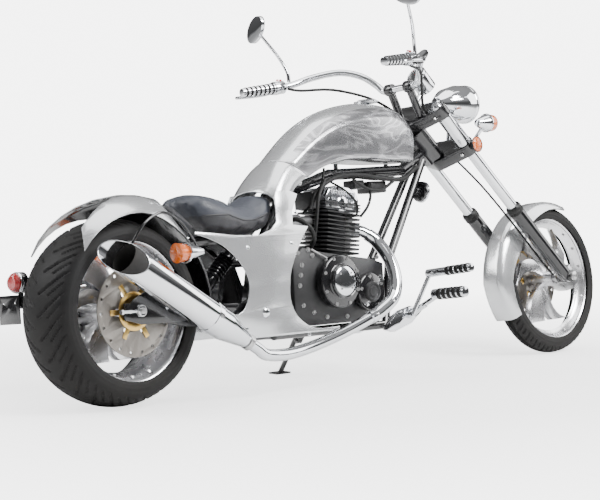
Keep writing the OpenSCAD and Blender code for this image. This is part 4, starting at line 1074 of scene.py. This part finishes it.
lamp = {"x": 1800, "z": 980}
lampAt = (lamp["x"], 0, lamp["z"])
turnedPiece("headlight_rim", [(65, -3), (65, 2.5), (67, 5), (70.5, 5), (73, 2), (73.6, -3), (73, -12),
                              (71.5, -14)], lampAt,
            (1900, 0, lamp["z"]), steered, "fork", *chromed, 96)
turnedPiece("headlight_lens", [(0, 10), (20, 9.4), (40, 7.2), (56, 3.6), (65.5, 0.6), (66, -1)], lampAt,
            (1900, 0, lamp["z"]), steered, "fork", None, clearLens, 96, 60)
for side, label in ((-1, "right"), (1, "left")):
    turnedPiece("front_signal_ring_" + label, [(33.6, -2), (35.2, -1), (35.2, 3), (33.4, 4)],
                (1700, side * 172, 884),
                (1800, side * 172, 884), steered, "fork", *chromed, 48)
    turnedPiece("front_signal_lens_" + label, [(0, 8), (10, 7.2), (20, 5), (27, 2), (30, -1)],
                (1734, side * 172, 884),
                (1800, side * 172, 884), steered, "fork", *orangey, 48, 60)
    turnedPiece("rear_signal_ring_" + label, [(31, -2), (34.6, -1), (34.6, 4), (31, 5)], (150, side * 205, 172),
                (50, side * 205, 172), rearHub, "chassis", *chromed, 48)

    turnedPiece("fork_reflector_" + label, [(0, 9), (12, 8.2), (21, 5.6), (27, 1.5), (28, 0)],
                (1652, side * 158, 806),
                (1652, side * 258, 806), steered, "fork", *orangey, 48, 60)
    turnedPiece("reflector_cup_" + label, [(12, -26), (16, -22), (26, -6), (29.5, -2), (29.5, 2), (28, 3)],
                (1652, side * 158, 806), (1652, side * 258, 806), steered, "fork", *moulded, 48)

# Gauge: face, ring, marks and needle
gaugePlace = fork @ Matrix.Translation(onFork(1556, 0, 1066))
whitePrint = makeFinish("whitePrint", (0.8, 0.8, 0.8), (0.7, 0.7, 0.7), 0.4, bump=0.02)
bm = bmesh.new()
turned(bm, [(33.5, 34), (34.4, 37.5), (37, 38.4), (38.8, 36.6), (38.8, 27), (37.8, 25.5)], 72)
finishPiece("gauge_ring", bm, gaugePlace, "fork", *chromed)
bm = bmesh.new()
turned(bm, [(0, 34.8), (33.6, 34.8), (34, 34.2)], 64)
finishPiece("gauge_face", bm, gaugePlace, "fork", None, blackPlastic)
bm = bmesh.new()
for k in range(21):
    spin = Matrix.Rotation(math.radians(-135 + 13.5 * k), 4, "Z")
    block(bm, (25 if k % 2 else 22, -0.5, 34.7), (30, 0.5, 35.1), 0.0, spin)
finishPiece("gauge_marks", bm, gaugePlace, "fork", None, whitePrint)
bm = bmesh.new()
block(bm, (-5, -0.9, 35.3), (24, 0.9, 36.3), 0.3, Matrix.Rotation(math.radians(-128), 4, "Z"))
turned(bm, [(0, 37), (3.2, 37), (4, 35)], 24)
finishPiece("gauge_needle", bm, gaugePlace, "fork", None, redPlastic)

# Sleeves between the clamps, dust seals with clips on the sliders, and clamp bolts
legs = {"n": 53, "y": 107, "lower": -121.5, "upper": 71.5, "thick": 46}
unFork = fork.inverted()
sliderTop = max((unFork @ v.co).z for v in frame["nodes"]["fork_sliders"].data.vertices)
for side, label in ((-1, "right"), (1, "left")):
    leg = fork @ Matrix.Translation((legs["n"], side * legs["y"], 0))
    bm = bmesh.new()
    low, high = legs["lower"] + legs["thick"] + 1, legs["upper"] - 1
    turned(bm, [(23, low), (28, low + 1), (29, low + 6), (27.6, low + 10), (27.6, high - 10), (29, high - 6),
                (28, high - 1), (23, high)], 48)
    finishPiece("fork_sleeve_" + label, bm, leg, "fork", *chromed)
    bm = bmesh.new()
    turned(bm, [(21, sliderTop + 9), (26, sliderTop + 9), (29.4, sliderTop + 5), (30.4, sliderTop - 2),
                (30.4, sliderTop - 8), (29, sliderTop - 10), (29, sliderTop - 14), (30.2, sliderTop - 15),
                (30.2, sliderTop - 22), (28.2, sliderTop - 24)], 48)
    finishPiece("fork_seal_" + label, bm, leg, "fork", *rubbery)
    bm = bmesh.new()
    turned(bm, [(0, legs["upper"] + legs["thick"] + 12), (13, legs["upper"] + legs["thick"] + 12),
                (16, legs["upper"] + legs["thick"] + 9), (21, legs["upper"] + legs["thick"] + 2),
                (21.5, legs["upper"] + legs["thick"])], 48)
    finishPiece("fork_cap_" + label, bm, leg, "fork", *chromed)
boltPiece("clamp_bolts", [(legs["n"] - 40, side * (legs["y"] - 4), s) for side in (-1, 1)
                          for s in (legs["lower"] + 23, legs["upper"] + 23)], (-1, 0, 0), 6, 5, fork, "fork",
          *steely)

# Grip stripes, pedal and peg rubbers, all as short sleeves on a bar from p to q
def sleeves(name, bars, count, share, placing, body):
    bm = bmesh.new()
    for p, q, r0, r1 in bars:
        p, q = Vector(p), Vector(q)
        length = (q - p).length
        for k in range(count):
            a, b = length * (k + 0.5 - share / 2) / count, length * (k + 0.5 + share / 2) / count
            ra, rb = (r0 + (r1 - r0) * s / length for s in (a, b))
            turned(bm, [(ra - 2, a), (ra + 0.8, a + 0.6), (ra + 2, a + 2.4), (rb + 2, b - 2.4),
                        (rb + 0.8, b - 0.6),
                         (rb - 2, b)], 32, pointing(p, q))
    return finishPiece(name, bm, placing, body, *rubbery)


sleeves("grip_stripes", [((1096, side * 323.4, 1080.5), (962, side * 344.7, 1067), 19,
                          15.2) for side in (-1, 1)], 7, 0.55,
        steered, "fork")
sleeves("peg_rubbers", [((1324, side * 206, 272.6), (1330, side * 322, 275.8), 19, 19) for side in (-1, 1)], 5,
        0.72, bike,
        "chassis")
sleeves("pedal_rubbers", [((1368, side * 212, 352.6), (1372, side * 322, 359.5), 15, 15) for side in (-1, 1)],
        5, 0.72, bike,
        "chassis")
bm = bmesh.new()
for side in (-1, 1):
    block(bm, (1112, side * 350 - 13, 1062), (1146, side * 350 + 13, 1088), 4)
    screw(bm, (1129, side * 350, 1088), (0, 0, 1), 5, 4)
finishPiece("lever_perches", bm, steered, "fork", *moulded)
bm = bmesh.new()
for side in (-1, 1):
    for k, x in enumerate((1118, 1132)):
        screw(bm, (x, side * (319 - k * 2), 1109), (0, 0, 1), 5, 5)
finishPiece("switch_buttons", bm, steered, "fork", None, redPlastic)

# Horn under the steering head, with a chrome ring
hornAt = Vector((1478, -20, 650))
turnedPiece("horn", [(0, 22), (10, 22), (12, 17), (24, 16), (27, 12), (36, 11), (38, 8), (38, -8), (30, -12),
                     (14, -14),
                     (14, -30), (0, -30)], hornAt, hornAt + Vector((80, -10, -20)), bike, "chassis", *painted,
            56)
turnedPiece("horn_ring", [(35, 9), (37, 11.5), (39.6, 9), (39.6, 2), (38, 1)], hornAt,
            hornAt + Vector((80, -10, -20)),
            bike, "chassis", *chromed, 56)
print("fork and controls made")

# Chain, trim and rods
chainRun = {"rear": Vector((0, 301.2)), "front": Vector((790, 300)), "rearRadius": 100.8, "frontRadius": 42.8,
            "y": 132,
            "pitch": 15.875, "half": 7.2}


# Closed run round both sprockets, as points of equal pitch
def chainPoints():
    centre, far = chainRun["rear"], chainRun["front"]
    wrap = math.acos((chainRun["rearRadius"] - chainRun["frontRadius"]) / (far - centre).length)
    run = []
    for spot, radius, start, end in ((far, chainRun["frontRadius"], wrap, -wrap),
                                     (centre, chainRun["rearRadius"], -wrap, wrap - 2 * math.pi)):
        for k in range(33):
            a = start + (end - start) * k / 32
            run.append(spot + radius * Vector((math.cos(a), math.sin(a))))
    run.append(run[0])
    lengths = [(b - a).length for a, b in zip(run, run[1:])]
    count = 2 * round(sum(lengths) / chainRun["pitch"] / 2)
    step, out, walked, index = sum(lengths) / count, [], 0.0, 0
    for k in range(count):
        while walked + lengths[index] < k * step:
            walked += lengths[index]
            index += 1
        t = (k * step - walked) / lengths[index]
        out.append(run[index].lerp(run[index + 1], t))
    return out


bm = bmesh.new()
pins = chainPoints()
plate = [(-4.6, 0), (-3.4, 4.4), (0, 5.9), (4, 4.9), (7.9, 3.9), (11.9, 4.9), (15.9, 5.9), (19.3, 4.4),
         (20.5, 0),
         (19.3, -4.4), (15.9, -5.9), (11.9, -4.9), (7.9, -3.9), (4, -4.9), (0, -5.9), (-3.4, -4.4)]
for k, (a, b) in enumerate(zip(pins, pins[1:] + pins[:1])):
    way = (b - a).normalized()
    spin = Matrix(((way.x, 0, -way.y, a.x), (0, 1, 0, chainRun["y"]), (way.y, 0, way.x, a.y), (0, 0, 0, 1)))
    out = chainRun["half"] + (1.7 if k % 2 else 0.0)
    for y0 in (-out - 1.5, out):
        part = bmesh.new()
        slab(part, plate, y0, y0 + 1.5)
        part.transform(spin)
        mesh = bpy.data.meshes.new("link")
        part.to_mesh(mesh)
        part.free()
        bm.from_mesh(mesh)
        bpy.data.meshes.remove(mesh)
    turned(bm, [(0, -10.4), (2.4, -10.4), (2.8, -9.8), (2.8, 9.8), (2.4, 10.4), (0, 10.4)], 10,
           spin @ Matrix.Rotation(math.pi / 2, 4, "X"))
finishPiece("chain_links", bm, bike, "chassis", *steely, 30)
paint("drive_chain", steel)

# Rod along each side of the mudguard, from its rear corner over the tyre to the front
hoop = [(-15, 508), (31, 569), (83, 599), (125, 604), (177, 580), (223, 530), (261, 490)]
bm = bmesh.new()
for side in (-1, 1):
    ends = [(-15, side * 140, 508), (261, side * 140, 490)]
    path = [(x, side * 150, z) for x, z in hoop]
    sweptTube(bm, smoothPath([ends[0]] + path[1:-1] + [ends[1]], 8), 4.5, 14)
finishPiece("fender_rods", bm, bike, "chassis", "black_rubber", blackPaint, 60)

# Axle plates with their chain adjusters on the swingarm's ends
for side, y, label in ((-1, -143.5, "right"), (1, 155.5, "left")):
    bm = bmesh.new()
    slab(bm, [(-64, 276), (-70, 302), (-24, 340), (50, 372), (104, 376), (220, 330), (318, 292), (336, 264),
              (150, 256),
              (0, 258)], y - 2, y + 2, 1.2)
    finishPiece("axle_plate_" + label, bm, bike, "chassis", *painted)
    bm = bmesh.new()
    face = y + side * 2
    screw(bm, (0, face, 301.2), (0, side, 0), 17, 11, True)
    screw(bm, (-40, face, 301.2), (0, side, 0), 7, 5, True)
    screw(bm, (110, face, 306), (0, side, 0), 7, 5, True)
    turned(bm, [(0, 0), (5, 0), (5, 62), (8.5, 62), (8.5, 70), (0, 70)], 6,
           pointing(Vector((-12, face + side * 3, 301.2)), Vector((-90, face + side * 3, 301.2))))
    finishPiece("axle_adjuster_" + label, bm, bike, "chassis", *chromed)

# Tail lamp ring, then the cap on each side of the pivot
turnedPiece("tail_lamp_ring", [(30, -2), (34.2, -1), (35, 4), (33.4, 8), (31.6, 8.6)], (-226, 180, 116),
            (-326, 180, 116),
            rearHub, "chassis", *chromed)
for side, label in ((-1, "right"), (1, "left")):
    turnedPiece("pivot_cap_" + label, [(0, 6), (8, 5.6), (14, 3.6), (17, 0)], (520, side * 162.2, 262),
                (520, side * 262, 262), bike, "chassis", *chromed)
print("chain and trim made")

# Floor and light
studio = {"floorGrey": 0.86, "floorRoughness": 0.55, "floorSize": 30, "fadeStart": 1.1, "fadeEnd": 3.6,
          "fadeLow": 0.35,
          "glow": 6.0, "backdrop": 14.3, "strength": 0.42, "bandBlue": 1.01,
          "bands": ((0.0, 0.55), (0.47, 0.6), (0.5, 0.16), (0.6, 0.22), (0.68, 0.75), (1.0, 1.0))}

# Pale floor that fades into the backdrop with distance from the bike
floorMaterial = bpy.data.materials.new("studioFloor")
floorMaterial.use_nodes = True
tree = floorMaterial.node_tree
shader = tree.nodes["Principled BSDF"]
shader.inputs["Base Color"].default_value = rgba(*[studio["floorGrey"]] * 3)
shader.inputs["Roughness"].default_value = studio["floorRoughness"]
spot = node(tree, "ShaderNodeTexCoord")
reach = node(tree, "ShaderNodeVectorMath", operation="LENGTH")
fade = node(tree, "ShaderNodeMapRange", {"From Min": studio["fadeStart"], "From Max": studio["fadeEnd"],
                                              "To Min": studio["fadeLow"], "To Max": 1.0})
glow = node(tree, "ShaderNodeEmission", {"Color": rgba(1, 1, 1), "Strength": studio["glow"]})
seen = node(tree, "ShaderNodeLightPath")
share = node(tree, "ShaderNodeMath", operation="MULTIPLY")
mixed = node(tree, "ShaderNodeMixShader")
surface = tree.nodes["Material Output"]
wire(tree, (spot, "Object", reach, 0), (reach, "Value", fade, "Value"),
     (fade, "Result", share, 0),
     (seen, "Is Camera Ray", share, 1), (share, "Value", mixed, "Fac"), (shader, "BSDF", mixed, 1),
     (glow, "Emission", mixed, 2), (mixed, "Shader", surface, "Surface"))
bm = bmesh.new()
bmesh.ops.create_grid(bm, x_segments=2, y_segments=2, size=studio["floorSize"])
mesh = bpy.data.meshes.new("floor")
bm.to_mesh(mesh)
bm.free()
mesh.materials.append(floorMaterial)
floor = bpy.data.objects.new("floor", mesh)
bpy.context.collection.objects.link(floor)

lights = [("key", (1.2, -4.2, 4.4), 620, 2.6), ("fill", (4.6, -2.0, 2.6), 130, 3.0), ("rim", (-4.0, 2.6, 3.6),
                                                                                      300, 3.0),
          ("top", (0, 0, 5.0), 180, 4.0)]
for name, spot, power, size in lights:
    lamp = bpy.data.objects.new(name + "_light", bpy.data.lights.new(name + "_light", "AREA"))
    lamp.data.energy, lamp.data.size = power, size
    lamp.location = spot
    lamp.rotation_euler = (Vector(spot) - Vector(view["target"])).to_track_quat("Z", "Y").to_euler()
    bpy.context.collection.objects.link(lamp)

# Pale room with a darker band at eye level, so that chrome has something to reflect
world = bpy.data.worlds.new("studio")
bpy.context.scene.world = world
world.use_nodes = True
sky = world.node_tree
backdrop = sky.nodes["Background"]
spot = node(sky, "ShaderNodeTexCoord")
height = node(sky, "ShaderNodeSeparateXYZ")
ramp = node(sky, "ShaderNodeValToRGB")
upward = node(sky, "ShaderNodeMapRange", {"From Min": -1.0, "From Max": 1.0})
setStops(ramp, studio["bands"], studio["bandBlue"])
seen = node(sky, "ShaderNodeLightPath")
clear = node(sky, "ShaderNodeMix", {"B": rgba(*[studio["backdrop"]] * 3)}, data_type="RGBA")
wire(sky, (spot, "Generated", height, "Vector"), (height, "Z", upward, "Value"),
     (upward, "Result", ramp, "Fac"), (ramp, "Color", clear, "A"),
     (seen, "Is Camera Ray", clear, "Factor"), (clear, "Result", backdrop, "Color"))
backdrop.inputs["Strength"].default_value = studio["strength"]
print("studio made")
